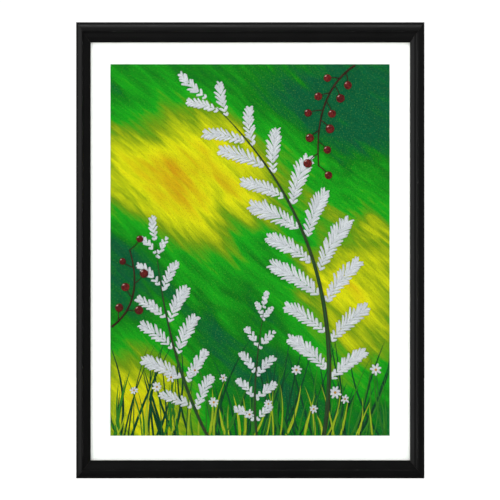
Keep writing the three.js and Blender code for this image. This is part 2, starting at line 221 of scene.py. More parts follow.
class Effect(Enum):
    """The effects that several finishes share, each one node group."""

    GRAIN = "long_grain"
    MOTTLE = "mottle"
    DUST = "settled_dust"


class EffectLibrary:
    """Builds each shared effect once and places it in materials."""

    def __init__(self) -> None:
        """Names each effect's builder and number inputs, with no group built yet."""
        self._groups: dict[Effect, bpy.types.NodeTree] = {}
        self._kinds = {
            Effect.GRAIN: (self._grain, ("Along", "Across")),
            Effect.MOTTLE: (self._mottle, ("Scale",)),
            Effect.DUST: (self._dust, ("Amount",)),
        }

    def place(self, graph: Graph, effect: Effect, vector: Any, *numbers: float) -> Socket:
        """Adds an effect to a material.

        Args:
            graph: the material's tree.
            effect: which effect.
            vector: where the pattern is read.
            *numbers: the group's number inputs, in order.

        Returns:
            The group's Mask output.
        """
        if effect not in self._groups:
            self._groups[effect] = self._group(effect)
        made = graph.node("Group", dict(enumerate((vector, *numbers))), node_tree=self._groups[effect])
        return made.outputs["Mask"]

    def _group(self, effect: Effect) -> bpy.types.NodeTree:
        """Builds an effect's group.

        Args:
            effect: which effect.

        Returns:
            The group's tree, with a vector and numbers in and a mask out.
        """
        fill, numbers = self._kinds[effect]
        tree = bpy.data.node_groups.new(effect.value, "ShaderNodeTree")
        tree.interface.new_socket("Vector", in_out="INPUT", socket_type="NodeSocketVector")
        for number in numbers:
            tree.interface.new_socket(number, in_out="INPUT", socket_type="NodeSocketFloat")
        tree.interface.new_socket("Mask", in_out="OUTPUT", socket_type="NodeSocketFloat")
        graph = Graph(tree)
        given = graph.node("NodeGroupInput").outputs
        graph.feed(graph.node("NodeGroupOutput").inputs[0], fill(graph, given[0], *given[1:1 + len(numbers)]))
        return tree

    @staticmethod
    def _grain(graph: Graph, vector: Socket, along: Socket, across: Socket) -> Socket:
        """Makes long streaks, which run along X of the vector.

        Args:
            graph: the group's tree.
            vector: where the pattern is read.
            along: its scale along X.
            across: its scale across X.

        Returns:
            The mask.
        """
        scale = graph.node("CombineXYZ", {0: along, 1: across, 2: across}).outputs[0]
        scaled = graph.vector("MULTIPLY", vector, scale)
        return graph.blend((graph.noise(scaled, 1.0, 4.0, 0.6), 0.65), (graph.noise(scaled, 3.7, 2.0), 0.35))

    @staticmethod
    def _mottle(graph: Graph, vector: Socket, scale: Socket) -> Socket:
        """Returns soft patches of two sizes."""
        small = graph.noise(vector, graph.times(scale, 6.3))
        return graph.blend((graph.noise(vector, scale, 2.0), 0.7), (small, 0.3))

    @staticmethod
    def _dust(graph: Graph, vector: Socket, amount: Socket) -> Socket:
        """Makes fine specks and a thin film on what faces up.

        Args:
            graph: the group's tree.
            vector: where the pattern is read.
            amount: how thick it lies.

        Returns:
            The mask.
        """
        normal = graph.node("NewGeometry").outputs["Normal"]
        up = graph.remap(graph.node("SeparateXYZ", {0: normal}).outputs[2], 0.35, 1.0)
        specks = graph.remap(graph.noise(vector, 900.0, 2.0), 0.60, 0.74)
        film = graph.remap(graph.noise(vector, 14.0), 0.3, 0.75, 0.15, 0.6)
        return graph.times(graph.times(up, graph.math("MAXIMUM", specks, film)), amount)


EFFECTS = EffectLibrary()


def grain(graph: Graph, vector: Any, scale: Pair) -> Socket:
    """Places the long grain, with its scales along and across."""
    return EFFECTS.place(graph, Effect.GRAIN, vector, *scale)


def mottle(graph: Graph, vector: Any, scale: float) -> Socket:
    """Places the soft patches."""
    return EFFECTS.place(graph, Effect.MOTTLE, vector, scale)


# Finishes


@dataclass(frozen=True)
class Finish:
    """A material. Each kind fills in its own nodes."""

    name: str

    def material(self) -> bpy.types.Material:
        """Builds the material the first time, and finds it again after that.

        Returns:
            The material.
        """
        known = bpy.data.materials.get(self.name)
        if known is not None:
            return known
        made = bpy.data.materials.new(self.name)
        made.use_nodes = True
        made.node_tree.nodes.clear()
        graph = Graph(made.node_tree)
        graph.feed(graph.node("OutputMaterial").inputs["Surface"], self.surface(graph))
        return made

    def surface(self, graph: Graph) -> Socket:
        """Fills the tree.

        Args:
            graph: the material's tree.

        Returns:
            The shader that goes to the output.
        """
        raise NotImplementedError


@dataclass(frozen=True)
class Lacquer(Finish):
    """Satin black lacquer over wood, on a piece whose map Grain runs along the member."""

    base: RGB = (0.0016, 0.0016, 0.0017)
    worn: RGB = (0.0030, 0.0029, 0.0028)
    dust: RGB = (0.30, 0.29, 0.28)
    specular: float = 0.36
    rough: Pair = (0.30, 0.38)
    grain_scale: Pair = (9.0, 520.0)
    cloud_scale: float = 26.0
    dust_amount: float = 0.02
    dust_rough: float = 2.0
    peel_scale: float = 1500.0
    peel_share: float = 0.25
    relief: float = 0.12 * MM

    def surface(self, graph: Graph) -> Socket:
        """Makes thin grain under the lacquer, soft cloudiness and a little dust.

        Args:
            graph: the material's tree.

        Returns:
            The shader.
        """
        place = graph.on_part()
        lines = grain(graph, graph.along_map("Grain"), self.grain_scale)
        dust = EFFECTS.place(graph, Effect.DUST, place, self.dust_amount)
        tone = graph.mix(graph.remap(lines, 0.42, 0.66), self.base, self.worn)
        cloud = graph.remap(mottle(graph, place, self.cloud_scale), 0.35, 0.65, *self.rough)
        rough = graph.add(cloud, graph.times(dust, self.dust_rough))
        peel = graph.times(graph.noise(place, self.peel_scale, 1.0), self.peel_share)
        normal = graph.bump(graph.add(lines, peel), self.relief)
        return graph.principled(graph.mix(dust, tone, self.dust), rough, normal, self.specular)


@dataclass(frozen=True)
class RawWood(Finish):
    """Planed pale wood with open pores, on a piece whose map Grain runs along the member."""

    light: RGB = (0.52, 0.36, 0.20)
    dark: RGB = (0.33, 0.20, 0.10)
    pore: RGB = (0.14, 0.08, 0.04)
    rough: Pair = (0.62, 0.78)
    band_scale: Pair = (5.0, 150.0)
    pore_scale: Pair = (120.0, 2600.0)
    pore_share: float = 0.75
    stain_scale: float = 18.0
    stain_share: float = 0.35
    relief: float = -0.2 * MM

    def surface(self, graph: Graph) -> Socket:
        """Makes growth bands, pores and a few stains.

        Args:
            graph: the material's tree.

        Returns:
            The shader.
        """
        along = graph.along_map("Grain")
        bands = grain(graph, along, self.band_scale)
        pores = grain(graph, along, self.pore_scale)
        stain = mottle(graph, graph.on_part(), self.stain_scale)
        wood = graph.mix(graph.remap(bands, 0.38, 0.62), self.light, self.dark)
        wood = graph.mix(graph.remap(pores, 0.55, 0.68, 0.0, self.pore_share), wood, self.pore)
        wood = graph.mix(graph.remap(stain, 0.5, 0.75, 0.0, self.stain_share), wood, self.dark)
        normal = graph.bump(pores, self.relief, strength=0.6)
        return graph.principled(wood, graph.remap(bands, 0.3, 0.7, *self.rough), normal)


@dataclass(frozen=True)
class ThinGlass(Finish):
    """A clear pane that light passes straight, with a faint reflection on its outer faces."""

    tint: RGB = (0.985, 0.995, 0.99)
    ior: float = 1.5
    rough: float = 0.03

    def surface(self, graph: Graph) -> Socket:
        """Makes it clear where seen head on, and a mirror towards grazing angles.

        Args:
            graph: the material's tree.

        Returns:
            The shader.
        """
        clear = graph.node("BsdfTransparent", {"Color": self.tint}).outputs[0]
        mirror = graph.node("BsdfGlossy", {"Color": (1.0, 1.0, 1.0), "Roughness": self.rough}).outputs[0]
        outside = graph.math("SUBTRACT", 1.0, graph.node("NewGeometry").outputs["Backfacing"])
        share = graph.times(graph.node("Fresnel", {"IOR": self.ior}).outputs[0], outside)
        return graph.node("MixShader", {0: share, 1: clear, 2: mirror}).outputs[0]


@dataclass(frozen=True)
class MatBoard(Finish):
    """White board with a faint paper tooth."""

    base: RGB = (0.93, 0.93, 0.925)
    shade: RGB = (0.88, 0.88, 0.87)
    specular: float = 0.2
    rough: Pair = (0.86, 0.96)
    fibre_scale: float = 1400.0
    patch_scale: float = 30.0
    relief: float = 0.12 * MM

    def surface(self, graph: Graph) -> Socket:
        """Makes fibres in the colour and the height.

        Args:
            graph: the material's tree.

        Returns:
            The shader.
        """
        place = graph.on_part()
        fibre = graph.noise(place, self.fibre_scale, 4.0, 0.65)
        tone = graph.blend((fibre, 0.6), (mottle(graph, place, self.patch_scale), 0.4))
        colour = graph.mix(graph.remap(tone, 0.45, 0.75), self.base, self.shade)
        normal = graph.bump(fibre, self.relief, strength=0.4)
        return graph.principled(colour, graph.remap(fibre, 0.3, 0.7, *self.rough), normal, self.specular)


@dataclass(frozen=True)
class FoamCore(Finish):
    """White board with a paper skin over foam."""

    base: RGB = (0.86, 0.86, 0.83)
    cell: RGB = (0.74, 0.74, 0.71)
    rough: Pair = (0.7, 0.85)
    cell_scale: float = 1300.0
    relief: float = 0.1 * MM

    def surface(self, graph: Graph) -> Socket:
        """Makes foam cells in the colour and the height.

        Args:
            graph: the material's tree.

        Returns:
            The shader.
        """
        inputs = {"Vector": graph.on_part(), "Scale": self.cell_scale}
        cells = graph.node("TexVoronoi", inputs).outputs["Distance"]
        colour = graph.mix(graph.remap(cells, 0.2, 0.8), self.base, self.cell)
        normal = graph.bump(cells, self.relief, strength=0.4)
        return graph.principled(colour, graph.remap(cells, 0.1, 0.8, *self.rough), normal)


@dataclass(frozen=True)
class Hardboard(Finish):
    """Pressed brown fibre board."""

    light: RGB = (0.30, 0.172, 0.085)
    dark: RGB = (0.185, 0.100, 0.048)
    fleck: RGB = (0.09, 0.045, 0.02)
    rough: Pair = (0.5, 0.72)
    # Each set of fibres: its turn on the board, and its scales along and across.
    fibres: tuple[tuple[float, Pair], ...] = ((0.6, (190.0, 900.0)), (-0.9, (230.0, 760.0)))
    matted_scale: float = 330.0
    fleck_scale: float = 900.0
    fleck_share: float = 0.55
    patch_scale: float = 11.0
    relief: float = 0.3 * MM

    def surface(self, graph: Graph) -> Socket:
        """Makes matted fibres two ways, darker flecks and soft patches.

        Args:
            graph: the material's tree.

        Returns:
            The shader.
        """
        place = graph.on_part()
        fibres = graph.math("MAXIMUM", *[
            grain(graph, graph.place(place, turn=(0, turn, 0)), scale) for turn, scale in self.fibres
        ])
        matted = graph.noise(place, self.matted_scale, 5.0, 0.7, 0.5)
        flecks = graph.remap(graph.noise(place, self.fleck_scale, 3.0, 0.6, 0.8), 0.60, 0.72)
        patches = mottle(graph, place, self.patch_scale)
        tone = graph.blend((fibres, 0.45), (matted, 0.40), (patches, 0.15))
        colour = graph.mix(graph.remap(tone, 0.40, 0.66), self.dark, self.light)
        colour = graph.mix(graph.times(flecks, self.fleck_share), colour, self.fleck)
        normal = graph.bump(tone, self.relief)
        return graph.principled(colour, graph.remap(matted, 0.3, 0.7, *self.rough), normal)


@dataclass(frozen=True)
class PlatedMetal(Finish):
    """Plated sheet steel with fine tumbling scratches."""

    base: RGB = (0.76, 0.77, 0.78)
    dull: RGB = (0.58, 0.58, 0.57)
    rough: Pair = (0.24, 0.46)
    # Each set of scratches: its turn on the metal, and its scales along and across.
    scratches: tuple[tuple[float, Pair], ...] = (
        (0.47, (110.0, 3900.0)), (-0.9, (140.0, 4600.0)), (1.9, (90.0, 3300.0)),
    )
    scratch_rough: float = 0.12
    dull_scale: float = 210.0
    pit_scale: float = 2600.0
    pit_share: float = 0.5
    relief: float = 0.02 * MM

    def surface(self, graph: Graph) -> Socket:
        """Makes sparse scratches three ways, dull patches and a faint pitted height.

        Args:
            graph: the material's tree.

        Returns:
            The shader.
        """
        place = graph.on_part()
        scratched: Any = 0.0
        for turn, scale in self.scratches:
            lines = grain(graph, graph.place(place, turn=(0, turn, 0), shift=(turn,) * 3), scale)
            scratched = graph.math("MAXIMUM", scratched, graph.remap(lines, 0.60, 0.74))
        dull = mottle(graph, place, self.dull_scale)
        rough = graph.add(
            graph.remap(dull, 0.35, 0.65, *self.rough), graph.times(scratched, self.scratch_rough))
        pits = graph.times(graph.noise(place, self.pit_scale, 2.0), self.pit_share)
        colour = graph.mix(graph.remap(dull, 0.4, 0.7), self.base, self.dull)
        normal = graph.bump(graph.math("SUBTRACT", pits, scratched), self.relief)
        return graph.principled(colour, rough, normal, metallic=1.0)


@dataclass(frozen=True)
class Rubber(Finish):
    """Dull dark rubber with a bloom of dust."""

    base: RGB = (0.018, 0.018, 0.019)
    pale: RGB = (0.10, 0.10, 0.10)
    rough: Pair = (0.62, 0.82)
    bloom_scale: float = 260.0
    bloom_share: float = 0.35
    pebble_scale: float = 3800.0
    relief: float = 0.05 * MM

    def surface(self, graph: Graph) -> Socket:
        """Makes a pale bloom over a fine pebbled height.

        Args:
            graph: the material's tree.

        Returns:
            The shader.
        """
        place = graph.on_part()
        bloom = mottle(graph, place, self.bloom_scale)
        colour = graph.mix(graph.remap(bloom, 0.45, 0.7, 0.0, self.bloom_share), self.base, self.pale)
        normal = graph.bump(graph.noise(place, self.pebble_scale, 2.0), self.relief)
        return graph.principled(colour, graph.remap(bloom, 0.3, 0.7, *self.rough), normal)


@dataclass(frozen=True)
class PaintedGround(Finish):
    """Brushed green and gold paint that fills the sheet."""

    centre: RGB = (0.0, 0.0, 0.0)
    teal: RGB = (0.0, 0.075, 0.026)
    deep: RGB = (0.002, 0.140, 0.005)
    green: RGB = (0.006, 0.275, 0.006)
    olive: RGB = (0.13, 0.24, 0.004)
    yellow: RGB = (0.54, 0.535, 0.003)
    gold: RGB = (0.44, 0.225, 0.003)
    fleck: RGB = (0.16, 0.38, 0.03)
    # Painted shade: a near-black green for the low points of the paper tooth.
    painted_tooth_shade: RGB = (0.0, 0.03, 0.004)
    specular: float = 0.02
    rough: Pair = (0.50, 0.72)
    brush_turn: float = math.radians(-41)
    sway_scale: float = 2.4
    sway: float = 0.07
    broad_scale: Pair = (4.0, 21.0)
    streak_scale: Pair = (13.0, 170.0)
    bristle_scale: Pair = (40.0, 780.0)
    dab_scale: RGB = (15.0, 62.0, 62.0)
    tooth_scale: float = 520.0
    relief: float = 0.4 * MM
    resting_tone: float = 0.27
    # Each pool: x and z of its middle, half its width and height, and how far it lifts the tone.
    pools: tuple[tuple[float, ...], ...] = (
        (-0.09, 0.10, 0.26, 0.145, 0.62),
        (0.15, -0.06, 0.15, 0.19, 0.46),
        (-0.14, -0.21, 0.14, 0.13, 0.48),
        (0.02, -0.14, 0.16, 0.10, -0.14),
        (0.15, 0.22, 0.20, 0.15, -0.31),
        (0.14, -0.25, 0.20, 0.11, -0.14),
        (-0.20, -0.03, 0.13, 0.14, -0.26),
    )

    def surface(self, graph: Graph) -> Socket:
        """Makes broad colour fields, streaks of the brush, the sheet's tooth, and painted shade in the
        tooth's hollows.

        Args:
            graph: the material's tree.

        Returns:
            The shader.
        """
        place = graph.place(graph.on_part(), shift=tuple(-v for v in self.centre))
        bent = self._swayed(graph, place)
        turned = graph.place(bent, turn=(0, self.brush_turn, 0))
        streak = grain(graph, turned, self.streak_scale)
        bristle = grain(graph, turned, self.bristle_scale)
        tone = graph.add(
            self._pools(graph, bent),
            graph.remap(grain(graph, turned, self.broad_scale), 0.30, 0.70, -0.13, 0.13),
            graph.remap(streak, 0.35, 0.65, -0.03, 0.03),
            graph.remap(self._dabs(graph, turned), 0.0, 1.0, -0.045, 0.045),
        )
        colour = graph.ramp(
            tone, (0.03, self.teal), (0.20, self.deep), (0.40, self.green),
            (0.55, self.olive), (0.74, self.yellow), (0.97, self.gold),
        )
        for mask, darkest, lightest in ((bristle, 0.84, 1.10), (streak, 0.88, 1.07)):
            shade = graph.ramp(mask, (0.36, (darkest,) * 3), (0.64, (lightest,) * 3))
            colour = graph.mix(1.0, colour, shade, "MULTIPLY")
        tooth = graph.noise(place, self.tooth_scale, 3.0, 0.7)
        fleck = graph.times(graph.remap(tooth, 0.54, 0.70), graph.remap(tone, 0.15, 0.6, 0.34, 0.10))
        colour = graph.mix(fleck, colour, self.fleck)
        # Painted shade: darkens the low points of the tooth, where the bump sinks, towards a near-black
        # green.
        colour = graph.mix(graph.remap(tooth, 0.48, 0.30, 0.0, 0.50), colour, self.painted_tooth_shade)
        normal = graph.bump(graph.blend((streak, 0.5), (bristle, 0.3), (tooth, 0.2)), self.relief)
        rough = graph.remap(bristle, 0.3, 0.7, *self.rough)
        return graph.principled(colour, rough, normal, self.specular)

    def _swayed(self, graph: Graph, place: Socket) -> Socket:
        """Bends the place a little, so that no edge of a field and no streak runs straight.

        Args:
            graph: the material's tree.
            place: the place on the sheet, from its middle.

        Returns:
            The bent place.
        """
        inputs = {"Vector": place, "Scale": self.sway_scale, "Detail": 1.0}
        sway = graph.vector("SUBTRACT", graph.node("TexNoise", inputs).outputs["Color"], (0.5,) * 3)
        return graph.vector("ADD", place, graph.vector("MULTIPLY", sway, (self.sway,) * 3))

    def _dabs(self, graph: Graph, turned: Socket) -> Socket:
        """Makes a value that steps softly from one short stroke of the brush to the next.

        Args:
            graph: the material's tree.
            turned: the place on the sheet, with X along the strokes.

        Returns:
            The value.
        """
        inputs = {"Vector": graph.place(turned, scale=self.dab_scale), "Scale": 1.0, "Smoothness": 0.35}
        cells = graph.node("TexVoronoi", inputs, feature="SMOOTH_F1")
        return graph.node("SeparateColor", {0: cells.outputs["Color"]}).outputs[0]

    def _pools(self, graph: Graph, place: Socket) -> Socket:
        """Lifts the tone towards gold or sinks it towards teal in broad soft pools.

        Args:
            graph: the material's tree.
            place: the place on the sheet, from its middle.

        Returns:
            The tone.
        """
        total: Any = self.resting_tone
        for x, z, wide, high, lift in self.pools:
            local = graph.place(place, shift=(-x / wide, 0.0, -z / high), scale=(1 / wide, 0.0, 1 / high))
            reach = graph.node("VectorMath", {0: local}, operation="LENGTH").outputs["Value"]
            total = graph.add(total, graph.remap(reach, 1.0, 0.0, 0.0, lift))
        return total


@dataclass(frozen=True)
class StrokePaint(Finish):
    """Thick paint in single strokes: map Stroke runs along and across each, and Tint varies it."""

    dark: RGB = (0.36, 0.37, 0.41)
    light: RGB = (0.67, 0.67, 0.70)
    through: RGB = (0.08, 0.19, 0.03)
    cover: float = 0.60
    cover_edge: float = 0.12
    specular: float = 0.1
    rough: Pair = (0.42, 0.62)
    bristle_scale: Pair = (2.2, 7.0)
    dry_edge: float = 0.12
    tint_apart: float = 13.0
    tint_share: float = 0.45
    relief: float = -0.15 * MM

    def surface(self, graph: Graph) -> Socket:
        """Makes bristle lines, and the ground showing through dry edges.

        Args:
            graph: the material's tree.

        Returns:
            The shader.
        """
        stroke = graph.along_map("Stroke")
        tint = graph.node("Attribute", attribute_name="Tint").outputs["Fac"]
        shift = graph.node("CombineXYZ", {0: graph.times(tint, self.tint_apart), 1: tint, 2: 0.0}).outputs[0]
        lines = grain(graph, graph.vector("ADD", stroke, shift), self.bristle_scale)
        across = graph.times(graph.node("SeparateXYZ", {0: stroke}).outputs[1], 2.0)
        edge = graph.math("ABSOLUTE", graph.math("SUBTRACT", across, 1.0))
        dry = graph.add(lines, graph.times(edge, self.dry_edge))
        colour = graph.mix(graph.remap(lines, 0.35, 0.62), self.light, self.dark)
        colour = graph.mix(graph.remap(tint, 0.0, 1.0, 0.0, self.tint_share), colour, self.dark)
        bare = graph.remap(dry, self.cover, self.cover + self.cover_edge)
        colour = graph.mix(bare, colour, self.through)
        normal = graph.bump(lines, self.relief, strength=0.7)
        return graph.principled(colour, graph.remap(lines, 0.3, 0.7, *self.rough), normal, self.specular)


@dataclass(frozen=True)
class PaleFloor(Finish):
    """Matt pale paint that is dim where a gloss mirrors it."""

    base: RGB = (0.92, 0.92, 0.92)
    mirrored: RGB = (0.05, 0.05, 0.05)
    rough: float = 0.9

    def surface(self, graph: Graph) -> Socket:
        """Mixes the paint with its dim look by the kind of ray.

        Args:
            graph: the material's tree.

        Returns:
            The shader.
        """
        seen = graph.node("BsdfPrincipled", {"Base Color": self.base, "Roughness": self.rough}).outputs[0]
        dim = graph.node("BsdfDiffuse", {"Color": self.mirrored}).outputs[0]
        glossy_ray = graph.node("LightPath").outputs["Is Glossy Ray"]
        return graph.node("MixShader", {0: glossy_ray, 1: seen, 2: dim}).outputs[0]


# Mesh helpers


def mesh_object(name: str, bm: BMesh, finishes: Sequence[Finish], smooth: bool = True) -> Object:
    """Turns a bmesh into an object at the origin and frees the bmesh.

    Args:
        name: the object's name.
        bm: the finished shape, in the part's frame.
        finishes: one finish for each material slot.
        smooth: whether faces are shaded smooth.

    Returns:
        The object, linked to the scene.
    """
    mesh = bpy.data.meshes.new(name)
    bm.to_mesh(mesh)
    bm.free()
    for finish in finishes:
        mesh.materials.append(finish.material())
    mesh.polygons.foreach_set("use_smooth", [smooth] * len(mesh.polygons))
    made = bpy.data.objects.new(name, mesh)
    bpy.context.scene.collection.objects.link(made)
    return made


def install(obj: Object, slot: str, *nodes: str, body: str = FRAME_BODY, weighted: bool = False) -> None:
    """Rides a new piece on a body and hides the nodes that it stands for.

    Args:
        obj: the new piece.
        slot: the record's material slot; not used.
        *nodes: the CAD nodes it replaces.
        body: the CAD body it moves with.
        weighted: whether its normals are weighted, so that flats stay flat beside bevels.
    """
    if weighted:
        obj.modifiers.new("weighted_normals", "WEIGHTED_NORMAL").keep_sharp = False
    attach(obj, body)
    if nodes:
        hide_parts(*nodes)
    log.info("%s: %d faces, on %s", obj.name, len(obj.data.polygons), body)


def finish_cad(node: str, finish: Finish) -> None:
    """Gives a CAD node's object one finish.

    Args:
        node: the node's name.
        finish: its finish.
    """
    slots = frame["nodes"][node].data.materials
    slots.clear()
    slots.append(finish.material())


def bevel(bm: BMesh, edges: Sequence[bmesh.types.BMEdge], offset: float, segments: int) -> None:
    """Rounds edges of a bmesh.

    Args:
        bm: the shape.
        edges: the edges to round, which may be none.
        offset: how far the rounding reaches on each side.
        segments: the faces across it.
    """
    if edges:
        bmesh.ops.bevel(
            bm, geom=list(edges), offset=offset, offset_type="OFFSET", segments=segments,
            profile=0.5, affect="EDGES", clamp_overlap=True, material=-1,
        )


def sharp_convex(bm: BMesh, angle: float = SHARP_ANGLE) -> list[bmesh.types.BMEdge]:
    """Finds the outward edges that are sharper than an angle.

    Args:
        bm: the shape.
        angle: the least turn between an edge's faces.

    Returns:
        The edges.
    """
    bm.normal_update()
    return [
        edge for edge in bm.edges
        if len(edge.link_faces) == 2 and edge.is_convex and edge.calc_face_angle(0.0) > angle
    ]


def thicken(bm: BMesh, way: Pair | RGB) -> None:
    """Extrudes a flat shape into a closed solid.

    Args:
        bm: the flat shape.
        way: the vector from its first face to its last.
    """
    made = bmesh.ops.extrude_face_region(bm, geom=bm.faces[:])
    moved = [item for item in made["geom"] if isinstance(item, bmesh.types.BMVert)]
    bmesh.ops.translate(bm, verts=moved, vec=way)
    bmesh.ops.recalc_face_normals(bm, faces=bm.faces)


def spun(points: Sequence[Pair], steps: int) -> BMesh:
    """Spins a profile round the Y axis into a closed shape.

    Args:
        points: radius and depth along Y, from one end on the axis to the other.
        steps: the number of segments round the axis.

    Returns:
        The new bmesh, round the origin.
    """
    bm = bmesh.new()
    verts = [bm.verts.new((radius, depth, 0.0)) for radius, depth in points]
    edges = [bm.edges.new(pair) for pair in zip(verts, verts[1:])]
    bmesh.ops.spin(
        bm, geom=verts + edges, cent=(0, 0, 0), axis=(0, 1, 0), angle=2 * math.pi,
        steps=steps, use_merge=True,
    )
    bmesh.ops.remove_doubles(bm, verts=bm.verts, dist=TOUCHING)
    bmesh.ops.recalc_face_normals(bm, faces=bm.faces)
    return bm


def arc(centre: Pair, radii: Pair, start: float, end: float, steps: int) -> list[Pair]:
    """Draws an arc of a circle or an ellipse.

    Args:
        centre: its middle.
        radii: its two half widths.
        start: the first angle.
        end: the last angle.
        steps: how many steps it takes.

    Returns:
        The points, both ends included.
    """
    angles = [start + (end - start) * i / steps for i in range(steps + 1)]
    return [(centre[0] + radii[0] * math.cos(a), centre[1] + radii[1] * math.sin(a)) for a in angles]


def pin(shank: Pair, point_share: float, head: Pair, outline: Sequence[Pair], steps: int) -> BMesh:
    """Spins a screw or a nail, with the seat of its head at the origin and its point towards -Y.

    Args:
        shank: its radius and its length.
        point_share: how far down the shank its point starts.
        head: its radius and its height.
        outline: the head's outline from the seat to the middle, in shares of its radius and height.
        steps: the number of segments round the axis.

    Returns:
        The new bmesh.
    """
    radius, length = shank
    profile = [(0.0, -length), (radius, -length * point_share), (radius, 0.0)]
    return spun(profile + [(head[0] * across, head[1] * up) for across, up in outline], steps)


# The moulding


@dataclass(frozen=True)
class Mitre:
    """A corner's joint, from the frame's outer corner to its inner one."""

    outer: Vector
    inner: Vector

    def plane(self, middle: Vector, gap: float) -> tuple[Vector, Vector]:
        """Works out the plane that ends a member here.

        Args:
            middle: the middle of the member's outer edge.
            gap: how far the member stops short.

        Returns:
            A point of it, and the normal that points out of the member.
        """
        run = (self.inner - self.outer).normalized()
        normal = Vector((-run.z, 0.0, run.x))
        if normal.dot(self.outer - middle) < 0:
            normal.negate()
        return self.outer - normal * gap, normal


@dataclass
class Moulding:
    """Four mitred members with one section, as wide as each CAD node."""

    crest_share: float = 0.46
    land_start_share: float = 0.62
    lip_start_share: float = 0.72
    cove_pull: Pair = (0.25, 1.0)
    lip_pull: Pair = (0.75, 0.80)
    side_height: float = 7.0 * MM
    land_start: float = 2.7 * MM
    lip_start: float = 2.8 * MM
    sight_edge: float = 5.6 * MM
    lip_back: float = 7.6 * MM
    rabbet_lip: float = 6.0 * MM
    rabbet_slack: float = 0.1 * MM
    end_spare: float = 4.0 * MM
    mitre_gap: float = 0.02 * MM
    edge_radius: float = 0.35 * MM
    mitre_radius: float = 0.08 * MM
    curve_steps: int = 18
    facing_back: float = 0.9
    facing_end: float = 0.99
    lacquer: Finish = field(default_factory=lambda: Lacquer("satin_black_lacquer"))
    raw: Finish = field(default_factory=lambda: RawWood("raw_wood_back"))

    def __post_init__(self) -> None:
        """Reads the outline from the frame."""
        left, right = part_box("stile_left"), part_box("stile_right")
        top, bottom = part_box("rail_top"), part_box("rail_bottom")
        self.outer = {"left": left[0].x, "right": right[1].x, "top": top[1].z, "bottom": bottom[0].z}
        self.inner = {"left": left[1].x, "right": right[0].x, "top": top[0].z, "bottom": bottom[1].z}
        self.front = top[0].y
        self.back = top[1].y

    def mitres(self) -> dict[str, Mitre]:
        """Works out the four corners' joints.

        Returns:
            Each mitre by the name of its corner.
        """
        found = {}
        for rail in ("top", "bottom"):
            for stile in ("left", "right"):
                outer = Vector((self.outer[stile], 0.0, self.outer[rail]))
                inner = Vector((self.inner[stile], 0.0, self.inner[rail]))
                found[f"{rail}_{stile}"] = Mitre(outer, inner)
        return found

    def build(self) -> None:
        """Builds the four members."""
        middle_x = (self.outer["left"] + self.outer["right"]) / 2
        middle_z = (self.outer["top"] + self.outer["bottom"]) / 2
        mitres = self.mitres()
        members = (
            ("stile_left", 0.0, (self.outer["left"], middle_z), ("top_left", "bottom_left")),
            ("rail_top", math.pi / 2, (middle_x, self.outer["top"]), ("top_left", "top_right")),
            ("stile_right", math.pi, (self.outer["right"], middle_z), ("top_right", "bottom_right")),
            ("rail_bottom", -math.pi / 2, (middle_x, self.outer["bottom"]), ("bottom_left", "bottom_right")),
        )
        for node, turn, (x, z), ends in members:
            self._member(node, turn, Vector((x, 0.0, z)), [mitres[end] for end in ends])

    def _section(self, width: float) -> list[Pair]:
        """Draws the section's outline.

        Args:
            width: the member's width.

        Returns:
            Points of distance from the outer edge and depth behind the front, all round.
        """
        crest = width * self.crest_share
        land = width * self.land_start_share
        lip = width * self.lip_start_share
        side = self.side_height
        shoulder = arc((crest, side), (-crest, -side), 0.0, math.pi / 2, self.curve_steps)
        cove = self._bend((crest, 0.0), (land, self.land_start), self.cove_pull)
        slope = self._bend((lip, self.lip_start), (width, self.sight_edge), self.lip_pull)
        wall = width - self.rabbet_lip
        depth = self.back - self.front
        rabbet = [(width, self.lip_back), (wall, self.lip_back), (wall, depth)]
        return [(0.0, depth), *shoulder, *cove[1:], *slope, *rabbet]

    def _bend(self, start: Pair, end: Pair, pull: Pair) -> list[Pair]:
        """Draws a quadratic curve.

        Args:
            start: its first point.
            end: its last point.
            pull: where its control lies: a share of the run across, and of the depth of its end.

        Returns:
            The points, both ends included.
        """
        control = (start[0] + (end[0] - start[0]) * pull[0], end[1] * pull[1])
        steps = self.curve_steps // 2
        shares = [i / steps for i in range(steps + 1)]
        return [
            tuple((1 - s) ** 2 * a + 2 * s * (1 - s) * b + s * s * c for a, b, c in zip(start, control, end))
            for s in shares
        ]

    def _member(self, node: str, turn: float, middle: Vector, ends: Sequence[Mitre]) -> None:
        """Builds one member in place of its CAD node.

        Args:
            node: the CAD node's name.
            turn: the turn about Y that brings local X inwards.
            middle: the middle of its outer edge.
            ends: the two mitres that it reaches.
        """
        low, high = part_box(node)
        width, length = sorted((high.x - low.x, high.z - low.z))
        length += self.end_spare
        bm = bmesh.new()
        uv = bm.loops.layers.uv.new("Grain")
        bm.faces.new([bm.verts.new((across, depth, -length / 2)) for across, depth in self._section(width)])
        thicken(bm, (0.0, 0.0, length))
        place = Matrix.Translation((middle.x, self.front, middle.z)) @ Matrix.Rotation(turn, 4, "Y")
        bm.transform(place)
        planes = [end.plane(middle, self.mitre_gap) for end in ends]
        for point, normal in planes:
            geometry = bm.verts[:] + bm.edges[:] + bm.faces[:]
            bmesh.ops.bisect_plane(bm, geom=geometry, plane_co=point, plane_no=normal, clear_outer=True)
            bmesh.ops.contextual_create(bm, geom=[edge for edge in bm.edges if edge.is_boundary])
        bmesh.ops.recalc_face_normals(bm, faces=bm.faces)
        on_mitre = [edge for edge in sharp_convex(bm) if any(self._lies_on(edge, *plane) for plane in planes)]
        bevel(bm, on_mitre, self.mitre_radius, 1)
        bevel(bm, [edge for edge in sharp_convex(bm) if edge.calc_length() > length / 2], self.edge_radius, 3)
        self._map_grain(bm, uv, place.inverted())
        self._mark_raw(bm, place.inverted(), width, [normal for _, normal in planes])
        obj = mesh_object(f"moulding_{node}", bm, (self.lacquer, self.raw))
        install(obj, "black_wood", node, weighted=True)

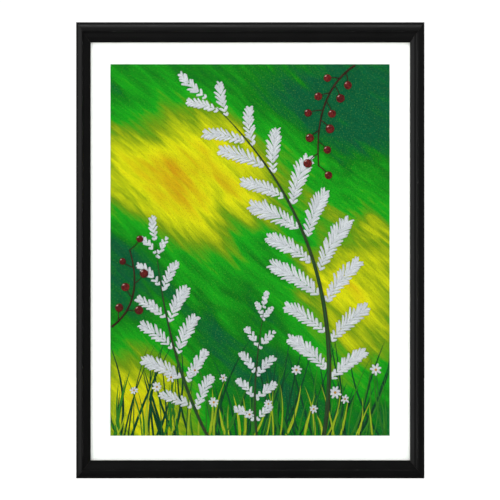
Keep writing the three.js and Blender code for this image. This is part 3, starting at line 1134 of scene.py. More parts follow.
    @staticmethod
    def _lies_on(edge: bmesh.types.BMEdge, point: Vector, normal: Vector) -> bool:
        """Tells whether both ends of an edge lie on a plane."""
        return all(abs((vert.co - point).dot(normal)) < TOUCHING for vert in edge.verts)

    @staticmethod
    def _map_grain(bm: BMesh, uv: bmesh.types.BMLayerItem, to_local: Matrix) -> None:
        """Maps each face in metres, along the member and round its section.

        Args:
            bm: the member.
            uv: the map that is filled.
            to_local: brings a point back to the section.
        """
        for face in bm.faces:
            for loop in face.loops:
                local = to_local @ loop.vert.co
                loop[uv].uv = (local.z, local.x + local.y)

    def _mark_raw(self, bm: BMesh, to_local: Matrix, width: float, ends: Sequence[Vector]) -> None:
        """Leaves the back, the rabbet and the sawn ends raw.

        Args:
            bm: the member.
            to_local: brings a point back to the section.
            width: the member's width.
            ends: the normals of its sawn ends.
        """
        turn = to_local.to_3x3()
        wall = width - self.rabbet_lip - self.rabbet_slack
        bm.normal_update()
        for face in bm.faces:
            centre = to_local @ face.calc_center_median()
            on_back = (turn @ face.normal).y > self.facing_back
            in_rabbet = centre.y > self.lip_back and centre.x > wall
            sawn = any(face.normal.dot(end) > self.facing_end for end in ends)
            face.material_index = int(on_back or in_rabbet or sawn)


# The sheets


@dataclass
class Sheets:
    """The flat sheets in the rabbet, which keep their CAD shapes."""

    finishes: dict[str, Finish] = field(default_factory=lambda: {
        "glazing": ThinGlass("clear_glazing"),
        "window_mat": MatBoard("white_mat_board"),
        "filler_board": FoamCore("foam_core"),
        "backing_board": Hardboard("pressed_hardboard"),
    })

    def build(self) -> None:
        """Gives each sheet its finish."""
        for node, finish in self.finishes.items():
            finish_cad(node, finish)
            log.info("%s: %s", node, finish.name)


# The painted design


class StrokeShape(Enum):
    """How a stroke's width runs along it."""

    BLADE = "blade"
    DAB = "dab"
    ROUND = "round"
    LINE = "line"

    def width(self, share: float) -> float:
        """Works out the width at a place on the stroke.

        Args:
            share: the share of its length.

        Returns:
            The share of its full width.
        """
        if self is StrokeShape.BLADE:
            return (1.0 - share) ** 0.7 * min(1.0, 0.75 + share)
        if self is StrokeShape.DAB:
            return 0.30 + 0.70 * math.sin(math.pi * min(1.0, 0.12 + share * 0.78)) ** 0.8
        if self is StrokeShape.ROUND:
            return max(0.08, math.sqrt(max(0.0, 1.0 - (2.0 * share - 1.0) ** 2)))
        return 1.0 - 0.45 * share


@dataclass(frozen=True)
class Curve:
    """A quadratic curve on the sheet, in metres from the window's middle: x right, y up."""

    start: Vector
    pull: Vector
    end: Vector

    def point(self, share: float) -> Vector:
        """Returns the point at a share of the way along."""
        rest = 1.0 - share
        return self.start * rest * rest + self.pull * 2 * rest * share + self.end * share * share

    def heading(self, share: float) -> Vector:
        """Returns the direction at a share of the way along."""
        run = (self.pull - self.start) * (1.0 - share) + (self.end - self.pull) * share
        return run.normalized() if run.length > 1e-9 else (self.end - self.start).normalized()


def flat(x: float, y: float) -> Vector:
    """Returns a point or direction on the sheet."""
    return Vector((x, y))


def drawn(start: Pair, pull: Pair, end: Pair) -> Curve:
    """Returns a curve between two points that a third one pulls towards itself."""
    return Curve(flat(*start), flat(*pull), flat(*end))


def bowed(start: Vector, end: Vector, bow: float) -> Curve:
    """Returns a curve between two points that bows to the left by a share of its length."""
    run = end - start
    return Curve(start, (start + end) / 2 + flat(-run.y, run.x) * bow, end)


def turned(heading: Vector, angle: float) -> Vector:
    """Returns a direction turned to the left by an angle."""
    cosine, sine = math.cos(angle), math.sin(angle)
    return flat(heading.x * cosine - heading.y * sine, heading.x * sine + heading.y * cosine)


@dataclass
class PrintWindow:
    """The window that the mat leaves over the print."""

    tuck: float = 8.0 * MM
    edge_clear: float = 0.3 * MM

    def __post_init__(self) -> None:
        """Reads the window from the print's box."""
        low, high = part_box("print_sheet")
        self.face = low.y
        self.middle = Vector(((low.x + high.x) / 2, low.y, (low.z + high.z) / 2))
        self.half_width = (high.x - low.x) / 2 - self.tuck
        self.half_height = (high.z - low.z) / 2 - self.tuck

    def to_part(self, spot: Vector, lift: float) -> Vector:
        """Brings a spot on the sheet to the part's frame.

        Args:
            spot: x and y from the window's middle.
            lift: height above the sheet.

        Returns:
            The point, held inside the window.
        """
        reach_x = self.half_width - self.edge_clear
        reach_z = self.half_height - self.edge_clear
        x = max(-reach_x, min(reach_x, spot.x))
        z = max(-reach_z, min(reach_z, spot.y))
        return Vector((self.middle.x + x, self.face - lift, self.middle.z + z))


class StrokeLayer:
    """Strokes of one paint, kept in one mesh that stands on the sheet."""

    tint_lift = 0.14 * MM
    root_depth = 0.05 * MM

    def __init__(self, name: str, window: PrintWindow, finish: Finish, base_lift: float) -> None:
        """Starts an empty layer.

        Args:
            name: the piece's name.
            window: the window that it is painted in.
            finish: the paint.
            base_lift: how thick its paint is at the least.
        """
        self.name = name
        self.window = window
        self.finish = finish
        self.base_lift = base_lift
        self.bm = bmesh.new()
        self.uv = self.bm.loops.layers.uv.new("Stroke")
        self.tint = self.bm.verts.layers.float.new("Tint")

    def add(
        self, curve: Curve, width: float, shape: StrokeShape, tint: float,
        steps: int = 5, rows: int = 2, crown: float = 0.10 * MM, ragged: float = 0.0,
    ) -> None:
        """Adds one stroke.

        Args:
            curve: its middle line.
            width: its full width.
            shape: how the width runs.
            tint: 0 to 1, which varies its colour and lifts it over its neighbours.
            steps: faces along it.
            rows: faces across it.
            crown: how much thicker it is in the middle.
            ragged: how far its far end frays, as a share of its length.
        """
        made = bmesh.ops.create_grid(self.bm, x_segments=steps, y_segments=rows, size=0.5)
        chance = random.Random(int(tint * 1e6))
        fray: dict[float, float] = {}
        spots = {}
        for vert in made["verts"]:
            share = vert.co.x + 0.5
            across = vert.co.y * 2.0
            spots[vert] = (share, vert.co.y + 0.5)
            reached = share * (1.0 - fray.setdefault(round(across, 3), chance.uniform(0.0, ragged)))
            heading = curve.heading(reached)
            side = flat(-heading.y, heading.x) * (across * shape.width(share) * width / 2)
            lift = self.base_lift + tint * self.tint_lift + crown * (1.0 - across * across)
            vert.co = self.window.to_part(curve.point(reached) + side, lift)
            vert[self.tint] = tint
        for face in {face for vert in made["verts"] for face in vert.link_faces}:
            for loop in face.loops:
                loop[self.uv].uv = spots[loop.vert]

    def done(self) -> None:
        """Roots the strokes in the sheet and installs the piece."""
        made = bmesh.ops.extrude_face_region(self.bm, geom=self.bm.faces[:], use_keep_orig=True)
        for item in made["geom"]:
            if isinstance(item, bmesh.types.BMVert):
                item.co.y = self.window.face + self.root_depth
        bmesh.ops.recalc_face_normals(self.bm, faces=self.bm.faces)
        install(mesh_object(self.name, self.bm, (self.finish,)), "printed_paper")


@dataclass
class Easel:
    """The window to paint in, and the one run of seeded chance that every motif draws on in turn."""

    seed: int = 41
    window: PrintWindow = field(default_factory=PrintWindow)

    def __post_init__(self) -> None:
        """Starts the run of chance."""
        self.chance = random.Random(self.seed)

    def draw(self, between: Pair) -> float:
        """Returns a value by chance between two others."""
        return self.chance.uniform(*between)

    def tint(self) -> float:
        """Returns a stroke's tint by chance."""
        return self.chance.random()

    def layer(self, name: str, paint: Finish, lift: float) -> StrokeLayer:
        """Returns an empty layer of strokes."""
        return StrokeLayer(name, self.window, paint, lift)


@dataclass(frozen=True)
class GrassShade:
    """The blades of one paint: how many, how tall, and how thick the paint is at the least."""

    name: str
    dark: RGB
    light: RGB
    count: int
    height: float
    lift: float


@dataclass
class Grass:
    """Blades that rise from the lower edge, in dark, middle and light paint."""

    shades: tuple[GrassShade, ...] = (
        GrassShade("dark", (0.0, 0.030, 0.010), (0.0, 0.075, 0.020), 54, 0.15, 0.10 * MM),
        GrassShade("middle", (0.005, 0.10, 0.006), (0.045, 0.24, 0.008), 46, 0.12, 0.18 * MM),
        GrassShade("light", (0.14, 0.25, 0.004), (0.42, 0.46, 0.012), 30, 0.085, 0.26 * MM),
    )
    cover: float = 0.7
    across: Pair = (-0.195, 0.195)
    height_share: Pair = (0.35, 1.0)
    lean_share: Pair = (-0.35, 0.45)
    bow: Pair = (-0.16, 0.16)
    width: Pair = (2.4 * MM, 5.2 * MM)
    steps: int = 10
    ragged: float = 0.04

    def paint(self, easel: Easel) -> None:
        """Paints every blade.

        Args:
            easel: the window and the chance.
        """
        foot = -easel.window.half_height
        for shade in self.shades:
            paint = StrokePaint(f"grass_paint_{shade.name}", shade.dark, shade.light, shade.dark, self.cover)
            layer = easel.layer(f"painted_grass_{shade.name}", paint, shade.lift)
            for _ in range(shade.count):
                x = easel.draw(self.across)
                height = shade.height * easel.draw(self.height_share)
                lean = height * easel.draw(self.lean_share)
                blade = bowed(flat(x, foot), flat(x + lean, foot + height), easel.draw(self.bow))
                width = easel.draw(self.width)
                layer.add(
                    blade, width, StrokeShape.BLADE, easel.tint(), steps=self.steps, ragged=self.ragged)
            layer.done()


@dataclass
class Sprig:
    """One leafy sprig: its stem, its pairs of leaves and their size."""

    stem: Curve
    pairs: int
    leaf_length: float
    leaf_width: float
    stem_width: float
    first: float = 0.16
    last: float = 0.94
    spread: float = math.radians(52)


@dataclass
class Sprigs:
    """Pale leafy sprigs on thin stems: one tall, one leaning the other way and one short."""

    plan: tuple[Sprig, ...] = (
        Sprig(drawn((0.105, -0.268), (0.150, 0.020), (-0.060, 0.215)), 9, 0.086, 0.028, 0.0075),
        Sprig(drawn((-0.060, -0.268), (-0.120, -0.150), (-0.135, 0.010)), 6, 0.060, 0.021, 0.0055),
        Sprig(drawn((0.010, -0.268), (0.000, -0.200), (0.020, -0.085)), 5, 0.040, 0.016, 0.0042),
    )
    leaf: Finish = field(default_factory=lambda: StrokePaint("leaf_paint"))
    leaf_lift: float = 0.40 * MM
    bark: Finish = field(default_factory=lambda: StrokePaint(
        "stem_paint", (0.030, 0.016, 0.008), (0.0, 0.095, 0.022), (0.01, 0.03, 0.005), 0.75))
    bark_lift: float = 0.58 * MM
    stem_steps: int = 40
    shade_offset: float = 0.28
    shade_width: float = 0.35
    pair_stagger: float = 0.012
    place_stray: Pair = (-0.006, 0.006)
    angle_stray: Pair = (-0.10, 0.10)
    length_stray: Pair = (0.88, 1.08)
    tip_size: float = 0.62
    half_width: Pair = (0.46, 0.54)
    stalk_share: float = 0.07
    rib_bow: float = 0.10
    stroke_gap: float = 6.4 * MM
    least_strokes: int = 5
    stroke_first: float = 0.02
    stroke_run: float = 0.88
    stroke_last: float = 0.93
    gap_stray: Pair = (-0.22, 0.22)
    lean_at_tip: float = 25.0
    lean_at_stalk: float = 45.0
    least_reach: float = 0.06
    reach_stray: Pair = (0.86, 1.10)
    stroke_width: Pair = (0.62, 0.92)
    width_of_gap: float = 0.82
    stroke_bow: float = 0.14
    ragged: float = 0.14

    def paint(self, easel: Easel) -> None:
        """Paints each sprig's stem, as two long strokes of which one is dark, and its leaves.

        Args:
            easel: the window and the chance.
        """
        leaves = easel.layer("painted_leaves", self.leaf, self.leaf_lift)
        stems = easel.layer("painted_stems", self.bark, self.bark_lift)
        for sprig in self.plan:
            stems.add(sprig.stem, sprig.stem_width, StrokeShape.BLADE, 0.0, steps=self.stem_steps)
            offset = flat(sprig.stem_width * self.shade_offset, 0.0)
            shade = Curve(sprig.stem.start + offset, sprig.stem.pull + offset, sprig.stem.end)
            width = sprig.stem_width * self.shade_width
            stems.add(shade, width, StrokeShape.BLADE, 1.0, steps=self.stem_steps)
            self._leaves(easel, leaves, sprig)
        leaves.done()
        stems.done()

    def _leaves(self, easel: Easel, leaves: StrokeLayer, sprig: Sprig) -> None:
        """Paints leaves on both sides of a stem, and one at its tip.

        Args:
            easel: the window and the chance.
            leaves: the layer of strokes.
            sprig: the sprig that they grow on.
        """
        for number in range(sprig.pairs):
            share = sprig.first + (sprig.last - sprig.first) * number / (sprig.pairs - 1)
            size = 0.55 + 0.45 * math.sin(math.pi * min(1.0, share * 0.92 + 0.12))
            for side in (-1, 1):
                at = share + side * self.pair_stagger + easel.draw(self.place_stray)
                angle = side * sprig.spread * (1.05 - 0.45 * share) + easel.draw(self.angle_stray)
                length = sprig.leaf_length * size * easel.draw(self.length_stray)
                leaf = turned(sprig.stem.heading(at), angle) * length
                self._leaf(easel, leaves, sprig, sprig.stem.point(at), leaf, -side)
        leaf = sprig.stem.heading(1.0) * sprig.leaf_length * self.tip_size
        self._leaf(easel, leaves, sprig, sprig.stem.point(1.0), leaf, 1)

    def _leaf(
        self, easel: Easel, leaves: StrokeLayer, sprig: Sprig, base: Vector, leaf: Vector, bow_side: int
    ) -> None:
        """Paints one leaf: strokes that fan out from its rib on both sides.

        Args:
            easel: the window and the chance.
            leaves: the layer of strokes.
            sprig: the sprig that it grows on.
            base: where the leaf leaves the stem.
            leaf: how it runs from there to its tip.
            bow_side: which way it bows.
        """
        length = leaf.length
        half = sprig.leaf_width * length / sprig.leaf_length * easel.draw(self.half_width)
        rib = bowed(base + leaf * self.stalk_share, base + leaf, self.rib_bow * bow_side)
        count = max(self.least_strokes, round(length / self.stroke_gap))
        for side in (-1, 1):
            for number in range(count):
                place = (number + easel.draw(self.gap_stray)) / (count - 1)
                share = max(0.0, min(self.stroke_last, self.stroke_first + self.stroke_run * place))
                lean = math.radians(self.lean_at_tip + (self.lean_at_stalk - self.lean_at_tip) * (1 - share))
                swell = math.sin(math.pi * min(1.0, 0.10 + 0.86 * share) ** 0.9) ** 0.75
                reach = max(half * swell / math.sin(lean), length * self.least_reach)
                reach *= easel.draw(self.reach_stray)
                root = rib.point(share)
                tip = root + turned(rib.heading(share), side * lean) * reach
                width = self.stroke_gap * self.width_of_gap * easel.draw(self.stroke_width)
                stroke = bowed(root, tip, -self.stroke_bow * side)
                leaves.add(stroke, width, StrokeShape.DAB, easel.tint(), ragged=self.ragged)


@dataclass
class Blossoms:
    """Small pale blossoms with gold eyes, on thin stalks in the grass."""

    count: int = 13
    stalk: Finish = field(default_factory=lambda: StrokePaint(
        "stalk_green", (0.0, 0.05, 0.01), (0.02, 0.16, 0.02), (0.0, 0.05, 0.01), 0.8))
    stalk_lift: float = 0.34 * MM
    petal: Finish = field(default_factory=lambda: StrokePaint("petal_paint", cover=0.75))
    petal_lift: float = 0.62 * MM
    gold: Finish = field(default_factory=lambda: StrokePaint(
        "eye_paint", (0.22, 0.09, 0.002), (0.55, 0.34, 0.004), (0.2, 0.1, 0.0), 0.8))
    eye_lift: float = 0.86 * MM
    reach: float = 0.185
    place_stray: Pair = (0.15, 0.85)
    height: Pair = (-0.235, -0.160)
    size: Pair = (6.0 * MM, 9.5 * MM)
    root_stray: Pair = (-0.012, 0.012)
    stalk_bow: Pair = (-0.08, 0.08)
    stalk_width: float = 1.5 * MM
    stalk_steps: int = 8
    petal_counts: tuple[int, ...] = (6, 7, 8)
    petal_turn: Pair = (0.0, 1.0)
    petal_stray: Pair = (-0.12, 0.12)
    petal_start: float = 0.16
    petal_reach: Pair = (0.85, 1.1)
    petal_bow: float = 0.08
    petal_width: float = 0.42
    petal_ragged: float = 0.1
    eye_half: float = 0.22
    eye_rows: int = 4

    def paint(self, easel: Easel) -> None:
        """Paints every blossom on its stalk.

        Args:
            easel: the window and the chance.
        """
        stalks = easel.layer("painted_flower_stalks", self.stalk, self.stalk_lift)
        petals = easel.layer("painted_petals", self.petal, self.petal_lift)
        eyes = easel.layer("painted_flower_eyes", self.gold, self.eye_lift)
        for number in range(self.count):
            x = self.reach * (2 * (number + easel.draw(self.place_stray)) / self.count - 1)
            centre = flat(x, easel.draw(self.height))
            size = easel.draw(self.size)
            root = flat(x + easel.draw(self.root_stray), -easel.window.half_height)
            stalk = bowed(root, centre, easel.draw(self.stalk_bow))
            stalks.add(stalk, self.stalk_width, StrokeShape.LINE, easel.tint(), steps=self.stalk_steps)
            self._petals(easel, petals, centre, size)
            across = flat(size * self.eye_half, 0.0)
            eye = bowed(centre - across, centre + across, 0.0)
            eyes.add(eye, across.x * 2, StrokeShape.ROUND, easel.tint(), rows=self.eye_rows)
        for layer in (stalks, petals, eyes):
            layer.done()

    def _petals(self, easel: Easel, petals: StrokeLayer, centre: Vector, size: float) -> None:
        """Paints the petals of one blossom.

        Args:
            easel: the window and the chance.
            petals: the layer of strokes.
            centre: the blossom's middle.
            size: how far its petals reach.
        """
        turn = easel.draw(self.petal_turn)
        count = easel.chance.choice(self.petal_counts)
        for place in range(count):
            angle = turn + 2 * math.pi * place / count + easel.draw(self.petal_stray)
            out = flat(math.cos(angle), math.sin(angle)) * size
            tip = centre + out * easel.draw(self.petal_reach)
            petal = bowed(centre + out * self.petal_start, tip, self.petal_bow)
            width = size * self.petal_width
            petals.add(petal, width, StrokeShape.DAB, easel.tint(), ragged=self.petal_ragged)


@dataclass
class BerryTwigs:
    """Thin twigs with red berries on short stalks, which hang and stand at the sheet's edges."""

    plan: tuple[tuple[Curve, int], ...] = (
        (drawn((0.150, 0.264), (0.090, 0.225), (0.098, 0.120)), 11),
        (drawn((-0.198, -0.110), (-0.150, -0.075), (-0.172, 0.000)), 6),
    )
    red: Finish = field(default_factory=lambda: StrokePaint(
        "berry_paint", (0.030, 0.002, 0.002), (0.19, 0.012, 0.008), (0.03, 0.004, 0.002), 0.8))
    berry_lift: float = 0.92 * MM
    glint: Finish = field(default_factory=lambda: StrokePaint(
        "glint_paint", (0.40, 0.20, 0.18), (0.58, 0.44, 0.42), (0.3, 0.1, 0.1)))
    glint_lift: float = 1.28 * MM
    bark: Finish = field(default_factory=lambda: StrokePaint(
        "twig_paint", (0.016, 0.006, 0.003), (0.045, 0.020, 0.008), (0.02, 0.01, 0.005), 0.8))
    bark_lift: float = 0.74 * MM
    twig_width: float = 3.2 * MM
    twig_tint: float = 0.2
    twig_steps: int = 24
    first: float = 0.12
    stalk_angle: Pair = (42.0, 66.0)
    stalk_length: Pair = (15.0 * MM, 23.0 * MM)
    stalk_width: float = 1.4 * MM
    stalk_bow: float = 0.12
    stalk_steps: int = 6
    berry_size: Pair = (9.5 * MM, 13.0 * MM)
    berry_turn: Pair = (0.0, 1.5)
    berry_steps: int = 8
    berry_rows: int = 6
    berry_crown: float = 0.24 * MM
    glint_place: Pair = (-0.22, 0.24)
    glint_half: Pair = (0.10, 0.06)
    glint_bow: float = 0.3
    glint_width: float = 0.13

    def paint(self, easel: Easel) -> None:
        """Paints each twig, with its berries to one side and the other in turn.

        Args:
            easel: the window and the chance.
        """
        berries = easel.layer("painted_berries", self.red, self.berry_lift)
        glints = easel.layer("painted_glints", self.glint, self.glint_lift)
        twigs = easel.layer("painted_twigs", self.bark, self.bark_lift)
        for twig, count in self.plan:
            twigs.add(twig, self.twig_width, StrokeShape.LINE, self.twig_tint, steps=self.twig_steps)
            for number in range(count):
                share = self.first + (1 - self.first) * number / (count - 1)
                side = -1 if number % 2 else 1
                out = turned(twig.heading(share), side * math.radians(easel.draw(self.stalk_angle)))
                root = twig.point(share)
                size = easel.draw(self.berry_size)
                centre = root + out * easel.draw(self.stalk_length)
                stalk = bowed(root, centre, self.stalk_bow * side)
                twigs.add(stalk, self.stalk_width, StrokeShape.LINE, easel.tint(), steps=self.stalk_steps)
                across = turned(out, easel.draw(self.berry_turn)) * size / 2
                berry = bowed(centre - across, centre + across, 0.0)
                berries.add(
                    berry, size, StrokeShape.ROUND, easel.tint(),
                    steps=self.berry_steps, rows=self.berry_rows, crown=self.berry_crown,
                )
                shine = centre + flat(*self.glint_place) * size
                half = flat(*self.glint_half) * size
                glint = bowed(shine - half, shine + half, self.glint_bow)
                glints.add(glint, size * self.glint_width, StrokeShape.DAB, easel.tint())
        for layer in (twigs, berries, glints):
            layer.done()


@dataclass
class PaintedDesign:
    """Meadow grass, pale sprigs, blossoms and red berries over a brushed green and gold ground."""

    easel: Easel = field(default_factory=Easel)

    def build(self) -> None:
        """Paints the ground, and each kind of motif over it in turn."""
        finish_cad("print_sheet", PaintedGround("brushed_ground", centre=tuple(self.easel.window.middle)))
        for motif in (Grass(), Sprigs(), Blossoms(), BerryTwigs()):
            motif.paint(self.easel)


# The fasteners, the hanger and the bumpers


@dataclass
class TurnButtons:
    """Stamped steel buttons on pan-head screws, eight of each."""

    count: int = 8
    end_radius: float = 5.5 * MM
    tip_radius: float = 4.0 * MM
    reach: float = 17.0 * MM
    bore_radius: float = 2.1 * MM
    edge_radius: float = 0.28 * MM
    # A screw's head and shank: the radius and the height or length of each.
    head: Pair = (3.4 * MM, 1.9 * MM)
    head_outline: tuple[Pair, ...] = (
        (0.94, 0.0), (1.0, 0.12), (1.0, 0.34), (0.95, 0.60),
        (0.84, 0.80), (0.62, 0.94), (0.34, 1.0), (0.0, 1.0),
    )
    shank: Pair = (1.4 * MM, 10.0 * MM)
    point_share: float = 0.75
    recess_width: float = 0.95 * MM
    recess_depth: float = 1.5 * MM
    recess_reach: float = 1.15
    recess_taper: Pair = (0.35, 0.55)
    recess_turn: float = 23.0
    recess_step: float = 37.0
    outline_steps: int = 24
    screw_steps: int = 48
    steel: Finish = field(default_factory=lambda: PlatedMetal("zinc_plated_steel"))

    def build(self) -> None:
        """Builds each button on its own body, and its screw on the frame."""
        joints = {joint["child"]: joint for joint in frame["joints"]}
        for number in range(1, self.count + 1):
            pivot = Vector(joints[f"button_{number}"]["pos_m"])
            self._button(number, pivot)
            self._screw(number, pivot)

    def _button(self, number: int, pivot: Vector) -> None:
        """Builds one button.

        Args:
            number: which button.
            pivot: the middle of its bore.
        """
        low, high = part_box(f"turn_button_{number}")
        run = (low + high) / 2 - pivot
        lean = math.acos((self.end_radius - self.tip_radius) / self.reach)
        outline = arc((0, 0), (self.end_radius,) * 2, lean, 2 * math.pi - lean, self.outline_steps)
        outline += arc((self.reach, 0), (self.tip_radius,) * 2, -lean, lean, self.outline_steps - 2)
        first = math.atan2(outline[0][1], outline[0][0])
        bore = arc((0, 0), (self.bore_radius,) * 2, first, first + 2 * math.pi, len(outline))[:-1]
        bm = bmesh.new()
        edges = []
        for ring in (outline, bore):
            verts = [bm.verts.new((x, 0.0, z)) for x, z in ring]
            edges += [bm.edges.new(pair) for pair in zip(verts, verts[1:] + verts[:1])]
        bmesh.ops.bridge_loops(bm, edges=edges)
        thicken(bm, (0.0, high.y - low.y, 0.0))
        bevel(bm, sharp_convex(bm, STEEP_ANGLE), self.edge_radius, 3)
        turn = Matrix.Rotation(-math.atan2(run.z, run.x), 4, "Y")
        bm.transform(Matrix.Translation((pivot.x, low.y, pivot.z)) @ turn)
        obj = mesh_object(f"steel_turn_button_{number}", bm, (self.steel,))
        install(obj, "zinc_steel", f"turn_button_{number}", body=f"button_{number}", weighted=True)

    def _screw(self, number: int, pivot: Vector) -> None:
        """Builds one pan-head screw with a cross recess.

        Args:
            number: which screw.
            pivot: a point on its axis.
        """
        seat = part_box(f"turn_screw_{number}")[1].y - self.head[1]
        bm = pin(self.shank, self.point_share, self.head, self.head_outline, self.screw_steps)
        obj = mesh_object(f"steel_turn_screw_{number}", bm, (self.steel,))
        self._recess(obj, math.radians(self.recess_turn + self.recess_step * number))
        obj.data.transform(Matrix.Translation((pivot.x, seat, pivot.z)))
        install(obj, "zinc_steel", f"turn_screw_{number}")

    def _recess(self, obj: Object, turn: float) -> None:
        """Cuts a tapered cross into the head of a screw that stands at the origin.

        Args:
            obj: the screw.
            turn: how far the cross is turned.
        """
        bm = bmesh.new()
        for step in (0, 1):
            verts = bmesh.ops.create_cube(bm, size=1.0)["verts"]
            arm = (self.head[0] * self.recess_reach, self.recess_depth * 2, self.recess_width)
            bmesh.ops.scale(bm, verts=verts, vec=arm)
            for vert in verts:
                if vert.co.y < 0:
                    vert.co.x *= self.recess_taper[0]
                    vert.co.z *= self.recess_taper[1]
            bmesh.ops.transform(bm, verts=verts, matrix=Matrix.Rotation(turn + step * math.pi / 2, 4, "Y"))
        bmesh.ops.translate(bm, verts=bm.verts[:], vec=(0, self.head[1], 0))
        cutter = mesh_object("recess_cutter", bm, ())
        cut = obj.modifiers.new("recess", "BOOLEAN")
        cut.operation = "DIFFERENCE"
        cut.solver = "EXACT"
        cut.use_self = True
        cut.object = cutter
        bpy.context.view_layer.update()
        whole = obj.data
        obj.data = bpy.data.meshes.new_from_object(obj.evaluated_get(bpy.context.evaluated_depsgraph_get()))
        obj.modifiers.remove(cut)
        bpy.data.meshes.remove(whole)
        bpy.data.objects.remove(cutter)
        obj.data.polygons.foreach_set("use_smooth", [True] * len(obj.data.polygons))
        obj.data.set_sharp_from_angle(angle=SHARP_ANGLE)


@dataclass
class WallHanger:
    """A sawtooth strip on two nails, in brass-plated steel."""

    foot: float = 7.5 * MM
    ramp: float = 4.0 * MM
    rise: float = 2.8 * MM
    bend: float = 1.2 * MM
    bend_steps: int = 4
    tooth_pitch: float = 3.0 * MM
    tooth_depth: float = 1.8 * MM
    tooth_count: int = 8
    band_start: float = 1.4
    thickness: float = 1.0 * MM
    edge_radius: float = 0.18 * MM
    fold_angle: float = math.radians(55)
    # The radius and the height of a nail's head.
    nail_head: Pair = (1.9 * MM, 0.9 * MM)
    nail_outline: tuple[Pair, ...] = (
        (0.93, 0.0), (1.0, 0.2), (0.96, 0.45), (0.78, 0.76), (0.45, 0.95), (0.0, 1.0),
    )
    nail_shank_radius: float = 0.8 * MM
    nail_point_share: float = 0.86
    nail_steps: int = 28
    brass: Finish = field(default_factory=lambda: PlatedMetal(
        "brass_plated_steel", base=(0.66, 0.45, 0.15), dull=(0.40, 0.27, 0.10)))

    def build(self) -> None:
        """Builds the strip and its nails."""
        self._strip()
        for side in ("left", "right"):
            self._nail(side)

    def _strip(self) -> None:
        """Builds the bent strip with its row of vee notches."""
        low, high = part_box("sawtooth_hanger")
        half = (high.x - low.x) / 2
        foot_end = half - self.foot
        bridge_end = foot_end - self.ramp
        quarter = self.tooth_pitch / 2
        teeth = [(i - self.tooth_count - 1) * quarter for i in range(2 * self.tooth_count + 3)]
        bends = [self.bend * (i / self.bend_steps - 0.5) for i in range(self.bend_steps + 1)]
        folds = [side * (end + b) for end in (foot_end, bridge_end) for side in (-1, 1) for b in bends]
        bm = bmesh.new()
        columns = []
        for x in sorted({round(x, 7) for x in (-half, half, *teeth, *folds)}):
            share = max(0.0, min(1.0, (foot_end - abs(x)) / (foot_end - bridge_end)))
            depth = low.y + self.rise * share * share * (3 - 2 * share)
            notch = abs((x / self.tooth_pitch) % 1.0 - 0.5) * 2.0 if abs(x) <= teeth[-1] else 0.0
            heights = (self.tooth_depth * notch, self.tooth_depth * self.band_start, high.z - low.z)
            columns.append([bm.verts.new((x, depth, low.z + height)) for height in heights])
        for first, second in zip(columns, columns[1:]):
            for row in range(2):
                bm.faces.new((first[row], first[row + 1], second[row + 1], second[row]))
        bmesh.ops.recalc_face_normals(bm, faces=bm.faces)
        if bm.faces[:][0].normal.y > 0:
            bmesh.ops.reverse_faces(bm, faces=bm.faces[:])
        bmesh.ops.solidify(bm, geom=bm.faces[:], thickness=self.thickness)
        bmesh.ops.recalc_face_normals(bm, faces=bm.faces)
        bevel(bm, sharp_convex(bm, self.fold_angle), self.edge_radius, 2)
        obj = mesh_object("brass_sawtooth_hanger", bm, (self.brass,), smooth=False)
        install(obj, "brassed_steel", "sawtooth_hanger")

    def _nail(self, side: str) -> None:
        """Builds one nail with a domed head.

        Args:
            side: left or right.
        """
        low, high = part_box(f"hanger_nail_{side}")
        centre = (low + high) / 2
        seat = high.y - self.nail_head[1]
        shank = (self.nail_shank_radius, seat - low.y)
        bm = pin(shank, self.nail_point_share, self.nail_head, self.nail_outline, self.nail_steps)
        bmesh.ops.translate(bm, verts=bm.verts[:], vec=(centre.x, seat, centre.z))
        obj = mesh_object(f"brass_hanger_nail_{side}", bm, (self.brass,))
        install(obj, "brassed_steel", f"hanger_nail_{side}")


@dataclass
class Bumpers:
    """Two rubber bumpers that keep the lower corners off the wall."""

    radius: float = 5.0 * MM
    pad_radius: float = 3.4 * MM
    foot_share: float = 0.42
    chamfer: float = 0.2 * MM
    dish: float = 0.2 * MM
    # The dish's outline: shares of the pad's radius and of the dish's depth.
    dish_outline: tuple[Pair, ...] = ((0.85, 0.0), (0.65, 0.8), (0.35, 1.0), (0.0, 1.0))
    shoulder_steps: int = 8
    steps: int = 40
    rubber: Finish = field(default_factory=lambda: Rubber("soft_rubber"))

    def build(self) -> None:
        """Builds both bumpers, each with a rounded shoulder and a shallow dish in its pad."""
        for side in ("left", "right"):
            low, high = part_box(f"bumper_{side}")
            height = high.y - low.y
            foot = height * self.foot_share
            reach = (self.radius - self.pad_radius, height - foot)
            profile = [
                (0.0, 0.0),
                (self.radius - self.chamfer, 0.0),
                (self.radius, self.chamfer),
                *arc((self.pad_radius, foot), reach, 0.0, math.pi / 2, self.shoulder_steps),
                *((self.pad_radius * r, height - self.dish * d) for r, d in self.dish_outline),
            ]
            bm = spun(profile, self.steps)
            centre = (low + high) / 2
            bmesh.ops.translate(bm, verts=bm.verts[:], vec=(centre.x, low.y, centre.z))
            install(mesh_object(f"rubber_bumper_{side}", bm, (self.rubber,)), "soft_rubber", f"bumper_{side}")


